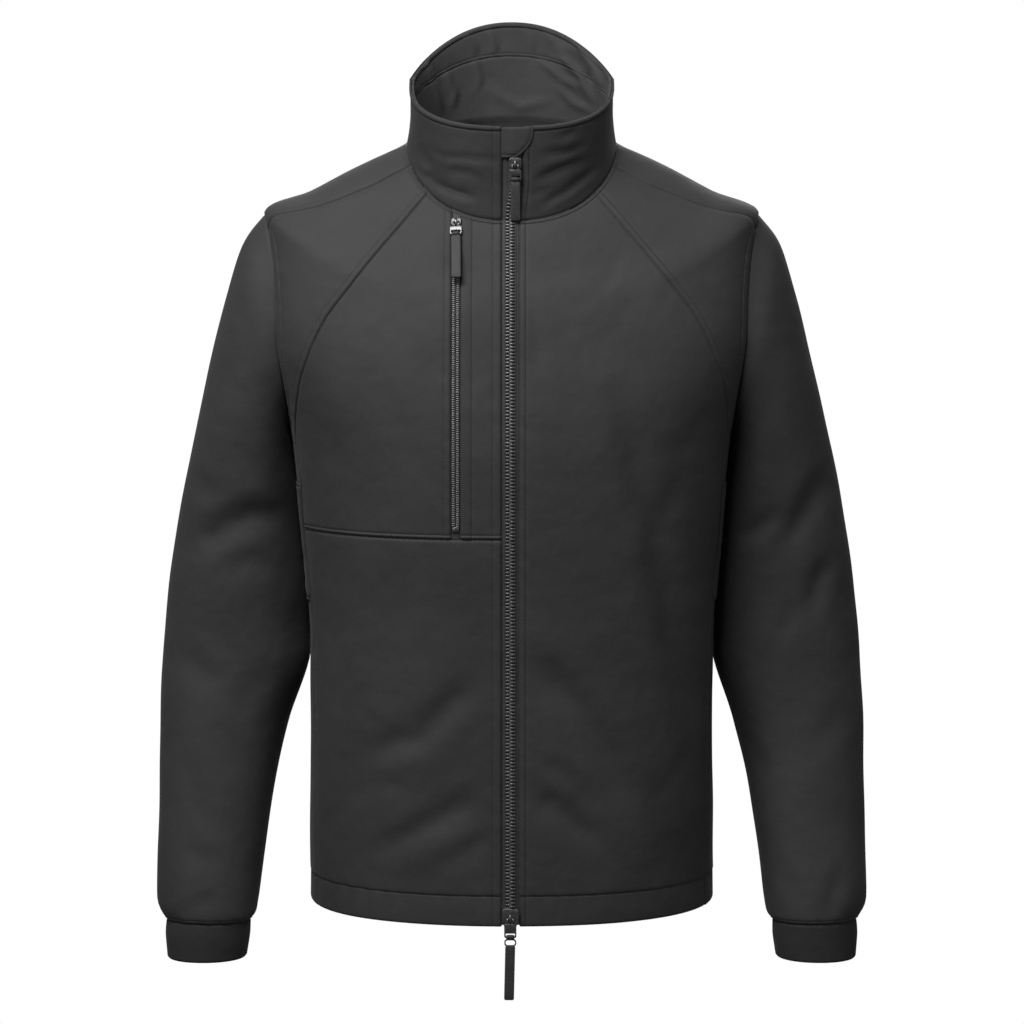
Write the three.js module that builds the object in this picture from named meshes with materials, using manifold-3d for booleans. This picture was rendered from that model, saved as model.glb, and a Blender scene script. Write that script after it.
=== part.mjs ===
// A softshell jacket as it is worn, closed to the chin, with no wearer inside.
// Millimetres, +Z up, the wearer faces -Y, and the wearer's left arm is at +X.
// The origin lies midway between the two points where the neck seam crosses the shoulders.
// Every cloth panel is a wall of even thickness on one of three forms: the torso, a sleeve or the collar.
// A form is a stack of rings, and each ring is worked out from its half width, its depths and its heights.
import * as THREE from "three";
import { mergeVertices } from "three/addons/utils/BufferGeometryUtils.js";
import Module from "manifold-3d";

const wasm = await Module();
wasm.setup();

// Driving dimensions
const CLOTH = 1.6; // bonded three-layer cloth
const LINING = 1.2;
const GAP = 0.3; // between pieces at a seam
const ZIP = { chainX: -1.1, rightEdge: -9, leftEdge: 7.4, chain: 8, lean: 4.4, edgeLean: 3.2 };
const POCKET_ZIP = { chainX: -49.5, window: 8.4, chain: 5.4 };
const TAPE = 0.8; // zip tape thickness
const TAPE_HIDDEN = 8; // how far a tape runs under each cloth edge
const CHAIN_PROUD = 0.2; // how far the teeth stand out of the cloth's face

const DARK = new THREE.MeshStandardMaterial({ color: 0x38383a, roughness: 0.85, metalness: 0 });
const INSIDE = new THREE.MeshStandardMaterial({ color: 0x343436, roughness: 0.95, metalness: 0 });
const TAPE_FINISH = new THREE.MeshStandardMaterial({ color: 0x29292b, roughness: 0.9, metalness: 0 });
const TEETH = new THREE.MeshStandardMaterial({ color: 0x2b2b2d, roughness: 0.35, metalness: 0 });
const METAL = new THREE.MeshStandardMaterial({ color: 0x2d2d30, roughness: 0.35, metalness: 0.8 });
const PULLER = new THREE.MeshStandardMaterial({ color: 0x303032, roughness: 0.8, metalness: 0 });

// A table's rows get their columns' names, and each row is one ring of a form.
const rings = (columns, rows) => {
  const named = (row) => columns.map((name, i) => [name, row[i]]);
  return rows.map((row) => Object.fromEntries(named(row)));
};

// side: x and z where the ring crosses the side or the shoulder. front, back: y and z on the centre lines.
// Box: how square that half is, 2 for an ellipse. Fall: how softly it leaves the side's height.
const BODY_COLUMNS = [
  ...["sideX", "sideZ", "frontY", "frontZ", "frontBox", "frontFall"],
  ...["backY", "backZ", "backBox", "backFall"],
];

// The torso's rings, from the hem up to the neck seam.
const TORSO = rings(BODY_COLUMNS, [
  [188, -693.5, -146, -696.5, 2.25, 1, 120, -693, 2.25, 2], // 0, hem
  [188, -610, -142, -610, 2.3, 2, 114, -610, 2.3, 2],
  [187, -530, -138, -530, 2.35, 2, 102, -530, 2.35, 2],
  [187, -460, -135, -460, 2.4, 2, 94, -460, 2.4, 2], // 3, waist
  [190, -402, -135, -404, 2.45, 2, 96, -402, 2.45, 2],
  [195, -349, -137, -355, 2.5, 2, 102, -345, 2.5, 2], // 5, chest seam
  [204, -257, -138, -287, 2.55, 2, 112, -260, 2.55, 2], // 6, underarm
  [227, -155, -131, -218, 2.6, 2, 114, -168, 2.5, 2],
  [228, -60.5, -116, -150, 2.3, 2, 100, -92, 2.2, 2.2], // 8, shoulder point
  [184, -38.5, -104, -119, 2.3, 1.8, 86, -46, 2.2, 2.4],
  [140, -15.5, -95, -93, 2.35, 1.5, 74, -6, 2.2, 2],
  [97, 4, -86, -71, 2.4, 1.35, 64, 32, 2.2, 1.4], // 11, neck seam
]);
const CHEST_SEAM = 5;
const UNDERARM = 6;
const SHOULDER = 8;
const NECK = 11;

// The collar's rings, from the neck seam up to the rim.
const COLLAR = rings(BODY_COLUMNS, [
  [97, 4, -86, -71, 2.4, 1.35, 64, 32, 2.2, 1.4],
  [94, 20, -87, -49, 2.4, 1.25, 64, 55, 2.15, 1.48],
  [93, 36, -89, -28.5, 2.45, 1.1, 65, 78, 2.1, 1.52],
  [93, 50.5, -91, -8.5, 2.5, 0.98, 65.5, 101, 2.1, 1.6],
  [93.7, 65, -93, 12, 2.5, 0.88, 65.5, 123.2, 2.14, 1.68], // 4, rim
]);
const RIM = 4;
const BAND_SEAM = 2.6; // the facing band at the rim starts here

// A sleeve's rings, from the armhole to the cuff. outer, inner: the ends away from the body and beside it.
const ARM_COLUMNS = ["outerX", "outerZ", "innerX", "innerZ", "middleY", "depth"];
const ARM_BOX = 2.1;
const SLEEVE = rings(ARM_COLUMNS, [
  [228, -60.5, 205, -257, 2, 64], // 0, armhole
  [248, -86, 205.6, -266, 4, 66],
  [265, -136, 203, -280, 9, 67],
  [281.5, -200, 199.8, -301, 15, 67],
  [296.5, -266, 195.8, -331, 20, 65],
  [310.5, -336, 191, -374, 24, 62],
  [321.5, -404, 187.6, -424, 25, 59], // 6, elbow
  [327.5, -468, 188.5, -466, 22, 56],
  [329.8, -532, 208.3, -532, 14, 53],
  [329.2, -592, 221.5, -592, 0, 49],
  [329, -648, 229.6, -648, -14, 46],
  [328.2, -690, 234.5, -692, -26, 43],
  [323.5, -704, 237, -706, -30, 41],
  [319, -710, 241.5, -711.5, -33, 36.5], // 13, cuff seam
]);
const CUFF_SEAM = 13;
const CUFF = rings(ARM_COLUMNS, [
  [319, -710, 241.5, -711.5, -33, 36.5],
  [319.5, -722, 242, -723, -33.5, 36.5],
  [318, -745.5, 245.5, -745.5, -34.5, 35.5],
]);

// A smooth value between a table's rows that never overshoots them.
function between(table, key, at) {
  const last = table.length - 1;
  const i = Math.min(Math.max(Math.floor(at), 0), last - 1);
  const slope = (k) => table[k + 1][key] - table[k][key];
  const tangent = (k) => {
    if (k === 0) return slope(0);
    if (k === last) return slope(last - 1);
    const [a, b] = [slope(k - 1), slope(k)];
    return a * b <= 0 ? 0 : (2 * a * b) / (a + b);
  };
  const u = at - i;
  const [p, q] = [table[i][key], table[i + 1][key]];
  const [m, n] = [tangent(i), tangent(i + 1)];
  return p + u * (m + u * (3 * (q - p) - 2 * m - n + u * (m + n - 2 * (q - p))));
}

function smooth(t) {
  const u = Math.min(Math.max(t, 0), 1);
  return u * u * (3 - 2 * u);
}

// The two arms of a rounded box's outline at an angle, each 0 to 1.
function roundBox(angle, box) {
  const [s, c] = [Math.abs(Math.sin(angle)), Math.abs(Math.cos(angle))];
  const r = (s ** box + c ** box) ** (-1 / box);
  return [s * r, c * r];
}

// A point of a ringed form. turn runs from 0 at the centre front to PI at the centre back.
function ringPoint(table, side, turn, ring) {
  const get = (key) => between(table, key, ring);
  const half = turn <= Math.PI / 2 ? "front" : "back";
  const [y, z, box, fall] = ["Y", "Z", "Box", "Fall"].map((key) => get(half + key));
  const [s, c] = roundBox(turn, box);
  const drop = c ** fall;
  const sideZ = get("sideZ");
  return new THREE.Vector3(side * get("sideX") * s, y * c, sideZ + (z - sideZ) * drop);
}

// The turn at which a ring reaches a given distance from the middle, on its front.
function turnAt(table, x, ring) {
  const box = between(table, "frontBox", ring);
  const s = Math.abs(x) / between(table, "sideX", ring);
  return Math.sign(x) * Math.atan2(s, (1 - s ** box) ** (1 / box));
}

// A torso or collar point by its signed turn, negative on the wearer's right.
const onForm = (table) => (turn, ring) => {
  const signed = turn - 2 * Math.PI * Math.round(turn / (2 * Math.PI));
  return ringPoint(table, signed < 0 ? -1 : 1, Math.abs(signed), ring);
};
const torso = onForm(TORSO);
const collar = onForm(COLLAR);

// A sleeve's ring: angle 0 is outermost, 90 degrees the front, 180 beside the body.
function sleeveRing(table, side, angle, ring) {
  const get = (key) => between(table, key, ring);
  const [f, c] = roundBox(angle, ARM_BOX);
  const along = Math.cos(angle) < 0 ? -c : c;
  const ahead = Math.sin(angle) < 0 ? -f : f;
  const [ox, oz, ix, iz] = ["outerX", "outerZ", "innerX", "innerZ"].map(get);
  return new THREE.Vector3(
    (side * (ox + ix + (ox - ix) * along)) / 2,
    get("middleY") - get("depth") * ahead,
    (oz + iz + (oz - iz) * along) / 2,
  );
}

// The armhole: how far it reaches forward and back on the torso, as turns.
const ARMHOLE_FRONT = THREE.MathUtils.degToRad(27);
const ARMHOLE_BACK = THREE.MathUtils.degToRad(31);
const ARMHOLE_MIDDLE = (UNDERARM + SHOULDER) / 2;
const ARMHOLE_REACH = (SHOULDER - UNDERARM) / 2;

function armholeSpot(angle) {
  const reach = Math.sin(angle) > 0 ? ARMHOLE_FRONT : ARMHOLE_BACK;
  return [Math.PI / 2 - reach * Math.sin(angle), ARMHOLE_MIDDLE + ARMHOLE_REACH * Math.cos(angle)];
}

const JOIN = 3; // the sleeve takes the armhole's shape up over this many rings
function sleevePoint(side, angle, ring) {
  const point = sleeveRing(SLEEVE, side, angle, ring);
  const [turn, level] = armholeSpot(angle);
  const miss = torso(side * turn, level).sub(sleeveRing(SLEEVE, side, angle, 0));
  return point.addScaledVector(miss, 1 - smooth(ring / JOIN));
}

// The largest folds, as soft troughs along a few points seen from the front (x, z), or from the back.
const FOLDS = [
  { on: "torso", face: "front", wide: 26, deep: 3.2, path: [[-35, -484], [-84, -530], [-138, -562]] },
  { on: "torso", face: "front", wide: 24, deep: 2.6, path: [[-35, -583], [-82, -613], [-127, -643]] },
  { on: "torso", face: "front", wide: 30, deep: 2.4, path: [[-160, -357], [-163, -450], [-158, -545]] },
  { on: "torso", face: "front", wide: 28, deep: 3.4, path: [[24, -463], [76, -527], [110, -613]] },
  { on: "torso", face: "front", wide: 24, deep: 2.6, path: [[24, -579], [54, -604], [86, -633]] },
  { on: "torso", face: "front", wide: 30, deep: 4.6, path: [[97, -230], [136, -358], [168, -570]] },
  { on: "torso", face: "back", wide: 34, deep: 3.6, path: [[-118, -300], [-40, -430], [-52, -560]] },
  { on: "torso", face: "back", wide: 32, deep: 3.2, path: [[122, -270], [70, -400], [96, -540]] },
  { on: "torso", face: "back", wide: 30, deep: 2.8, path: [[-10, -600], [40, -520], [112, -470]] },
  { on: "sleeve", face: "front", wide: 26, deep: 4, path: [[-285, -367], [-262, -348], [-222, -342]] },
  { on: "sleeve", face: "front", wide: 24, deep: 3.4, path: [[291, -303], [276, -325], [252, -372]] },
  { on: "sleeve", face: "front", wide: 20, deep: 2.6, path: [[291, -381], [282, -403], [274, -436]] },
  { on: "sleeve", face: "back", wide: 26, deep: 3.4, path: [[-286, -300], [-262, -352], [-238, -420]] },
  { on: "sleeve", face: "back", wide: 26, deep: 3.4, path: [[284, -420], [262, -372], [238, -350]] },
];

function toPath(point, path) {
  let best = Infinity;
  for (let i = 1; i < path.length; i++) {
    const [[ax, az], [bx, bz]] = [path[i - 1], path[i]];
    const [dx, dz] = [bx - ax, bz - az];
    const t = Math.min(Math.max(((point.x - ax) * dx + (point.z - az) * dz) / (dx * dx + dz * dz), 0), 1);
    best = Math.min(best, Math.hypot(point.x - ax - t * dx, point.z - az - t * dz));
  }
  return best;
}

// How far in the folds bring a point whose way out is known.
function foldDepth(kind, point, out) {
  let depth = 0;
  for (const fold of FOLDS) {
    const facing = fold.face === "front" ? -out.y : out.y;
    if (fold.on !== kind || facing <= 0.15) continue;
    const near = 1 - (toPath(point, fold.path) / fold.wide) ** 2;
    if (near > 0) depth += fold.deep * near * near * smooth((facing - 0.15) / 0.5);
  }
  return depth;
}

// A spot is a point on the outer face and the way out there, as a plain pair.
function spotOn(form, u, v) {
  const [du, dv] = [0.004, 0.02];
  const [low, high] = [Math.max(v - dv, form.first), Math.min(v + dv, form.last)];
  const along = form.at(u + du, v).sub(form.at(u - du, v));
  const up = form.at(u, high).sub(form.at(u, low));
  const out = along.cross(up).normalize().multiplyScalar(form.sign);
  const point = form.at(u, v);
  if (form.kind) point.addScaledVector(out, -foldDepth(form.kind, point, out));
  return { point, out };
}

const TORSO_FORM = { at: torso, first: 0, last: NECK, sign: 1, kind: "torso" };
const COLLAR_FORM = { at: collar, first: 0, last: RIM, sign: 1 };
const sleeveForm = (side) => ({
  at: (angle, ring) => sleevePoint(side, angle, ring),
  first: 0,
  last: CUFF_SEAM,
  sign: side,
  kind: "sleeve",
});
const cuffForm = (side) => ({
  at: (angle, ring) => sleeveRing(CUFF, side, angle, ring),
  first: 0,
  last: CUFF.length - 1,
  sign: side,
});

// Where two forms meet at an angle, both walls end on one plane between them, up to this much aslant.
const MOST_ASLANT = THREE.MathUtils.degToRad(40);
function mitred(spot, other) {
  const mean = spot.out.clone().add(other);
  if (mean.length() < 0.2) return spot;
  const half = Math.min(spot.out.angleTo(mean), MOST_ASLANT);
  const axis = spot.out.clone().cross(mean);
  if (axis.length() < 1e-6) return spot;
  const out = spot.out.clone().applyAxisAngle(axis.normalize(), half).multiplyScalar(1 / Math.cos(half));
  return { point: spot.point, out };
}

// Brings a grid's edges in by half the gap at a seam. edges names those that are sewn.
function inset(grid, edges, by = GAP / 2) {
  const last = grid.length - 1;
  const end = grid[0].length - 1;
  const shift = (spot, inner, before, after) => {
    const way = spot.out.clone().normalize();
    const tangent = after.point.clone().sub(before.point);
    tangent.addScaledVector(way, -tangent.dot(way)).normalize();
    const move = inner.point.clone().sub(spot.point);
    move.addScaledVector(way, -move.dot(way));
    move.addScaledVector(tangent, -move.dot(tangent)).normalize();
    return move.multiplyScalar(by);
  };
  const round = edges.includes("round");
  const beside = (c, step) => {
    if (round) return (c + step + end + 1) % (end + 1);
    return Math.min(Math.max(c + step, 0), end);
  };
  return grid.map((row, r) =>
    row.map((spot, c) => {
      const point = spot.point.clone();
      const [before, after] = [row[beside(c, -1)], row[beside(c, 1)]];
      const [below, above] = [grid[Math.max(r - 1, 0)][c], grid[Math.min(r + 1, last)][c]];
      if (r === 0 && edges.includes("low")) point.add(shift(spot, above, before, after));
      if (r === last && edges.includes("high")) point.add(shift(spot, below, before, after));
      if (c === 0 && edges.includes("start")) point.add(shift(spot, after, below, above));
      if (c === end && edges.includes("end")) point.add(shift(spot, before, below, above));
      return { point, out: spot.out };
    }),
  );
}

// A closed wall from a grid of spots. face is how far its outer face lies out of the form.
function wall(name, finish, grid, face, thick, round = false) {
  const rows = grid.length;
  const cols = grid[0].length;
  const spots = grid.flat();
  const vertices = [face, face - thick].flatMap((far) =>
    spots.flatMap(({ point, out }) => point.clone().addScaledVector(out, far).toArray()),
  );
  const id = (layer, r, c) => layer * rows * cols + r * cols + (c % cols);
  const triangles = [];
  const quad = (a, b, c, d) => triangles.push(a, b, c, a, c, d);
  const across = round ? cols : cols - 1;
  for (let r = 0; r < rows - 1; r++)
    for (let c = 0; c < across; c++) {
      quad(id(0, r, c), id(0, r, c + 1), id(0, r + 1, c + 1), id(0, r + 1, c));
      quad(id(1, r, c), id(1, r + 1, c), id(1, r + 1, c + 1), id(1, r, c + 1));
    }
  for (let c = 0; c < across; c++) {
    quad(id(1, 0, c), id(1, 0, c + 1), id(0, 0, c + 1), id(0, 0, c));
    quad(id(0, rows - 1, c), id(0, rows - 1, c + 1), id(1, rows - 1, c + 1), id(1, rows - 1, c));
  }
  for (let r = 0; r < rows - 1 && !round; r++) {
    quad(id(1, r, 0), id(0, r, 0), id(0, r + 1, 0), id(1, r + 1, 0));
    quad(id(0, r, cols - 1), id(1, r, cols - 1), id(1, r + 1, cols - 1), id(0, r + 1, cols - 1));
  }
  return solid(name, finish, vertices, triangles);
}

// A mesh from vertices and triangles, turned to face out.
function solid(name, finish, vertices, triangles) {
  let volume = 0;
  const corner = (i) => new THREE.Vector3(...vertices.slice(3 * i, 3 * i + 3));
  for (let i = 0; i < triangles.length; i += 3) {
    const [a, b, c] = [corner(triangles[i]), corner(triangles[i + 1]), corner(triangles[i + 2])];
    volume += a.dot(b.cross(c));
  }
  if (volume < 0)
    for (let i = 0; i < triangles.length; i += 3)
      [triangles[i + 1], triangles[i + 2]] = [triangles[i + 2], triangles[i + 1]];
  const geometry = new THREE.BufferGeometry();
  geometry.setAttribute("position", new THREE.Float32BufferAttribute(vertices, 3));
  geometry.setIndex(triangles);
  const mesh = new THREE.Mesh(geometry, finish);
  mesh.name = name;
  return mesh;
}

const DEG = Math.PI / 180;
const steps = (from, to, count) =>
  Array.from({ length: count + 1 }, (_, i) => from + ((to - from) * i) / count);

// The seams' levels. Rows of the front panels and of the side seam share the first eleven.
const SIDE_LEVELS = [0, 0.6, 1.25, 1.9, 2.5, 3.1, 3.75, 4.4, CHEST_SEAM, 5.5, UNDERARM];
const PRINCESS_TOP = 9.5; // the princess seam's level beside the end of the forward shoulder seam
const SLEEVE_COLUMNS = 20;
const SLEEVE_STEP = 360 / SLEEVE_COLUMNS;
const FRONT_ARMHOLE = steps(180 - SLEEVE_STEP, 2 * SLEEVE_STEP, 7); // from the underarm, in degrees
const BACK_ARMHOLE = steps(180 + SLEEVE_STEP, 360 + 2 * SLEEVE_STEP, 11);

// The forward shoulder seam, from the armhole to the neck.
const FORWARD_SEAM = [
  { turn: 67.6, level: 8.55 },
  { turn: 65.2, level: 9.35 },
  { turn: 64.4, level: 10.15 },
  { turn: 67, level: 11 },
];
const NECK_TURN = FORWARD_SEAM[FORWARD_SEAM.length - 1].turn * DEG;
const BACK_COLUMNS = 16;
const SIDE_COLUMNS = 4;
const PRINCESS_LEVELS = [
  ...SIDE_LEVELS,
  ...steps(UNDERARM, PRINCESS_TOP, FRONT_ARMHOLE.length).slice(1),
  ...steps(PRINCESS_TOP, NECK, FORWARD_SEAM.length).slice(1),
];

// The princess seam as it is seen from the front: how far from the middle it runs at each height.
const PRINCESS = rings(["z", "x"], [
  [-700, 178],
  [-460, 180],
  [-402, 183.6],
  [-350, 190],
  [-300, 192.8],
  [-262, 197],
  [-220, 191.1],
  [-190, 181.1],
  [-160, 166.4],
  [-130, 144.1],
  [-100, 120.8],
  [-70, 96.2],
  [-40, 72.2],
]);
function princessX(z) {
  const last = PRINCESS.length - 2;
  const i = Math.min(Math.max(PRINCESS.findLastIndex((row) => row.z <= z), 0), last);
  const width = (k) => PRINCESS[k + 1].z - PRINCESS[k].z;
  const slope = (k) => (PRINCESS[k + 1].x - PRINCESS[k].x) / width(k);
  const tangent = (k) => {
    const [a, b] = [slope(Math.max(k - 1, 0)), slope(Math.min(k, last))];
    return a * b <= 0 ? 0 : (2 * a * b) / (a + b);
  };
  const u = (z - PRINCESS[i].z) / width(i);
  const [p, q] = [PRINCESS[i].x, PRINCESS[i + 1].x];
  const [m, n] = [tangent(i) * width(i), tangent(i + 1) * width(i)];
  return p + u * (m + u * (3 * (q - p) - 2 * m - n + u * (m + n - 2 * (q - p))));
}

// Its turn from the centre front at a level, found by halving.
function princessTurn(level) {
  let [low, high] = [0.2, Math.PI / 2];
  for (let i = 0; i < 30; i++) {
    const middle = (low + high) / 2;
    const { x, z } = ringPoint(TORSO, 1, middle, level);
    if (x < princessX(z)) low = middle;
    else high = middle;
  }
  return (low + high) / 2;
}
const sideSeamTurn = (level) => (90 + 7 * smooth((UNDERARM - level) / 3)) * DEG;

// The outer edge of a panel that ends at the side seam, the armhole and the forward shoulder seam.
function outerEdge(armholeAngles) {
  const side = SIDE_LEVELS.map((level) => [sideSeamTurn(level), level]);
  const hole = armholeAngles.map((angle) => armholeSpot(angle * DEG));
  const shoulder = FORWARD_SEAM.map(({ turn, level }) => [turn * DEG, level]);
  return [...side, ...hole, ...shoulder];
}

// The armhole's spots carry the way out that torso and sleeve share.
const isArmhole = (r, count) => r >= SIDE_LEVELS.length - 1 && r < count - FORWARD_SEAM.length;
function armholeTorsoSpot(side, angle) {
  const [turn, level] = armholeSpot(angle);
  const spot = spotOn(TORSO_FORM, side * turn, level);
  return mitred(spot, spotOn(sleeveForm(side), angle, 0).out);
}
function armholeSleeveSpot(side, angle) {
  const [turn, level] = armholeSpot(angle);
  const spot = spotOn(sleeveForm(side), angle, 0);
  return mitred({ ...spot, point: torso(side * turn, level) }, spotOn(TORSO_FORM, side * turn, level).out);
}

// The neck seam's spots carry the way out that torso and collar share.
function neckSpot(turn, form) {
  const pair = [spotOn(TORSO_FORM, turn, NECK), spotOn(COLLAR_FORM, turn, 0)];
  return form === TORSO_FORM ? mitred(pair[0], pair[1].out) : mitred(pair[1], pair[0].out);
}

const torsoSpot = (turn, level) =>
  level >= NECK ? neckSpot(turn, TORSO_FORM) : spotOn(TORSO_FORM, turn, level);

// The turns across each front panel at a level. A column beside each zip lets its tape lie close behind.
const BESIDE_ZIP = 9;
const rowOf = {
  left: (level, princess) => [
    turnAt(TORSO, ZIP.leftEdge, level),
    ...steps(turnAt(TORSO, ZIP.leftEdge + BESIDE_ZIP, level), princess, 7),
  ],
  rightOuter: (level, princess) => {
    const edge = POCKET_ZIP.chainX - POCKET_ZIP.window / 2;
    return [...steps(-princess, turnAt(TORSO, edge - BESIDE_ZIP, level), 3), turnAt(TORSO, edge, level)];
  },
  rightInner: (level) => {
    const edge = POCKET_ZIP.chainX + POCKET_ZIP.window / 2;
    const across = [edge, edge + BESIDE_ZIP, ZIP.rightEdge - BESIDE_ZIP, ZIP.rightEdge];
    return across.map((x) => turnAt(TORSO, x, level));
  },
};
rowOf.rightWhole = (level, princess) => [...rowOf.rightOuter(level, princess), ...rowOf.rightInner(level)];

function frontGrid(levels, part) {
  return levels.map((level) => rowOf[part](level, princessTurn(level)).map((turn) => torsoSpot(turn, level)));
}

// The side front, from the princess seam out to the side, the armhole and the shoulder.
function sideFrontGrid(side, count) {
  const outer = outerEdge(FRONT_ARMHOLE);
  return outer.map(([turn, level], r) => {
    const [startTurn, startLevel] = [princessTurn(PRINCESS_LEVELS[r]), PRINCESS_LEVELS[r]];
    const row = steps(0, 1, count).map((t) =>
      torsoSpot(side * (startTurn + (turn - startTurn) * t), startLevel + (level - startLevel) * t),
    );
    const angle = r === SIDE_LEVELS.length - 1 ? 180 : FRONT_ARMHOLE[r - SIDE_LEVELS.length];
    if (isArmhole(r, outer.length)) row[count] = armholeTorsoSpot(side, angle * DEG);
    return row;
  });
}

// The back, in one piece over both shoulders to the forward seams.
function backGrid(half) {
  const outer = outerEdge(BACK_ARMHOLE);
  const first = SIDE_LEVELS.length - 1;
  return outer.map(([turn, level], r) => {
    const share = (r - first) / (outer.length - 1 - first);
    const middle = r <= first ? level : UNDERARM + (NECK - UNDERARM) * share;
    const row = steps(-1, 1, 2 * half).map((t) => {
      const near = Math.cos((t * Math.PI) / 2);
      return torsoSpot(Math.PI + (Math.PI - turn) * t, level + (middle - level) * near);
    });
    const angle = r === first ? 180 : BACK_ARMHOLE[r - first - 1];
    if (isArmhole(r, outer.length)) {
      row[0] = armholeTorsoSpot(1, angle * DEG);
      row[2 * half] = armholeTorsoSpot(-1, angle * DEG);
    }
    return row;
  });
}

// A sleeve in one piece round the arm.
const SLEEVE_RINGS = [
  ...[0, 0.5, 1, 1.6, 2.3, 3, 3.7, 4.4, 5, 5.6],
  ...[6.2, 6.8, 7.4, 8.2, 9.1, 10, 11, 12, 12.5, CUFF_SEAM],
];
function sleeveGrid(side) {
  const angles = steps(0, 360, SLEEVE_COLUMNS).slice(0, -1);
  return SLEEVE_RINGS.map((ring) =>
    angles.map((angle) => {
      if (ring === 0) return armholeSleeveSpot(side, angle * DEG);
      const spot = spotOn(sleeveForm(side), angle * DEG, ring);
      return ring < CUFF_SEAM ? spot : mitred(spot, spotOn(cuffForm(side), angle * DEG, 0).out);
    }),
  );
}

function cuffGrid(side) {
  const angles = steps(0, 360, SLEEVE_COLUMNS).slice(0, -1);
  return [0, 0.45, 1, 1.5, 2].map((ring) =>
    angles.map((angle) => {
      const spot = spotOn(cuffForm(side), angle * DEG, ring);
      return ring > 0 ? spot : mitred(spot, spotOn(sleeveForm(side), angle * DEG, CUFF_SEAM).out);
    }),
  );
}

// The front zip leans a little at the collar, so its line and the left edge move with height.
const lean = (ring) => smooth(ring / 1.6);
const chainX = (ring) => ZIP.chainX + ZIP.lean * lean(ring);
const rightEdge = () => ZIP.rightEdge;
const leftEdge = (ring) => ZIP.leftEdge + ZIP.edgeLean * lean(ring);
const COLLAR_RINGS = [0, 0.8, 1.7, BAND_SEAM, 3.3, RIM];

// The turns of the neck seam, as the panels' own columns have them, from the right front edge round the back.
function neckTurns() {
  const princess = princessTurn(NECK);
  const seam = NECK_TURN;
  const right = rowOf.rightWhole(NECK, princess).reverse();
  const back = steps(-seam, seam - 2 * Math.PI, BACK_COLUMNS).slice(1);
  const rightSide = steps(-princess, -seam, SIDE_COLUMNS).slice(1);
  const leftSide = steps(seam, princess, SIDE_COLUMNS).slice(1);
  const left = [...leftSide, ...rowOf.left(NECK, princess).reverse().slice(1)];
  return [...right, ...rightSide, ...back, ...left.map((turn) => turn - 2 * Math.PI)];
}

// A collar grid between two edges, each a function from ring to x. At ring 0 its columns are the neck seam's.
function collarGrid(rings, from, to, spare = 0) {
  const columns = neckTurns().slice(spare, -spare || undefined);
  const span = [columns[0], columns[columns.length - 1]];
  return rings.map((ring) => {
    const [a, b] = [turnAt(COLLAR, from(ring), ring), turnAt(COLLAR, to(ring), ring) - 2 * Math.PI];
    return columns.map((turn, i) => {
      const share = (turn - span[0]) / (span[1] - span[0]);
      const near = (side) => Math.max(0, 1 - side / 0.1);
      const moved = turn + (a - span[0]) * near(share) + (b - span[1]) * near(1 - share);
      return ring > 0 ? spotOn(COLLAR_FORM, moved, ring) : neckSpot(moved, COLLAR_FORM);
    });
  });
}

// A strip up the front at given distances from the middle: over the torso's levels, then the collar's rings.
function frontStrip(levels, rings, edges, count) {
  const row = (form, table, at, [from, to]) =>
    steps(from, to, count).map((x) => {
      const turn = turnAt(table, x, at);
      return form === TORSO_FORM ? torsoSpot(turn, at) : spotOn(form, turn, at);
    });
  return [
    ...levels.map((level) => row(TORSO_FORM, TORSO, level, edges(0))),
    ...rings.map((ring) => row(COLLAR_FORM, COLLAR, ring, edges(ring))),
  ];
}

// Hard pieces are made flat: x to the right, y up along the cloth and z out of it, then set on the garment.
function placed(name, finish, body, frame) {
  const data = body.getMesh();
  const geometry = new THREE.BufferGeometry();
  geometry.setAttribute("position", new THREE.Float32BufferAttribute(data.vertProperties, 3));
  geometry.setIndex([...data.triVerts]);
  geometry.applyMatrix4(frame);
  const mesh = new THREE.Mesh(geometry, finish);
  mesh.name = name;
  return mesh;
}

function box(x0, x1, y0, y1, z0, z1) {
  return wasm.Manifold.cube([x1 - x0, y1 - y0, z1 - z0]).translate([x0, y0, z0]);
}

// A plate with rounded corners, seen from the front.
function plate(halfWidth, y0, y1, z0, z1, corner) {
  const shape = wasm.CrossSection.square([2 * (halfWidth - corner), y1 - y0 - 2 * corner])
    .translate([corner - halfWidth, y0 + corner])
    .offset(corner, "Round", 2, 12);
  return wasm.Manifold.extrude(shape, z1 - z0).translate([0, 0, z0]);
}

function frameAt(table, form, x, level) {
  const turn = turnAt(table, x, level);
  const { point, out } = spotOn(form, turn, level);
  const along = (step) => form.at(turnAt(table, x, level + step), level + step);
  const up = along(0.02).sub(along(-0.02));
  up.addScaledVector(out, -up.dot(out)).normalize();
  const right = up.clone().cross(out);
  return new THREE.Matrix4().makeBasis(right, up, out).setPosition(point);
}

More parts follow.
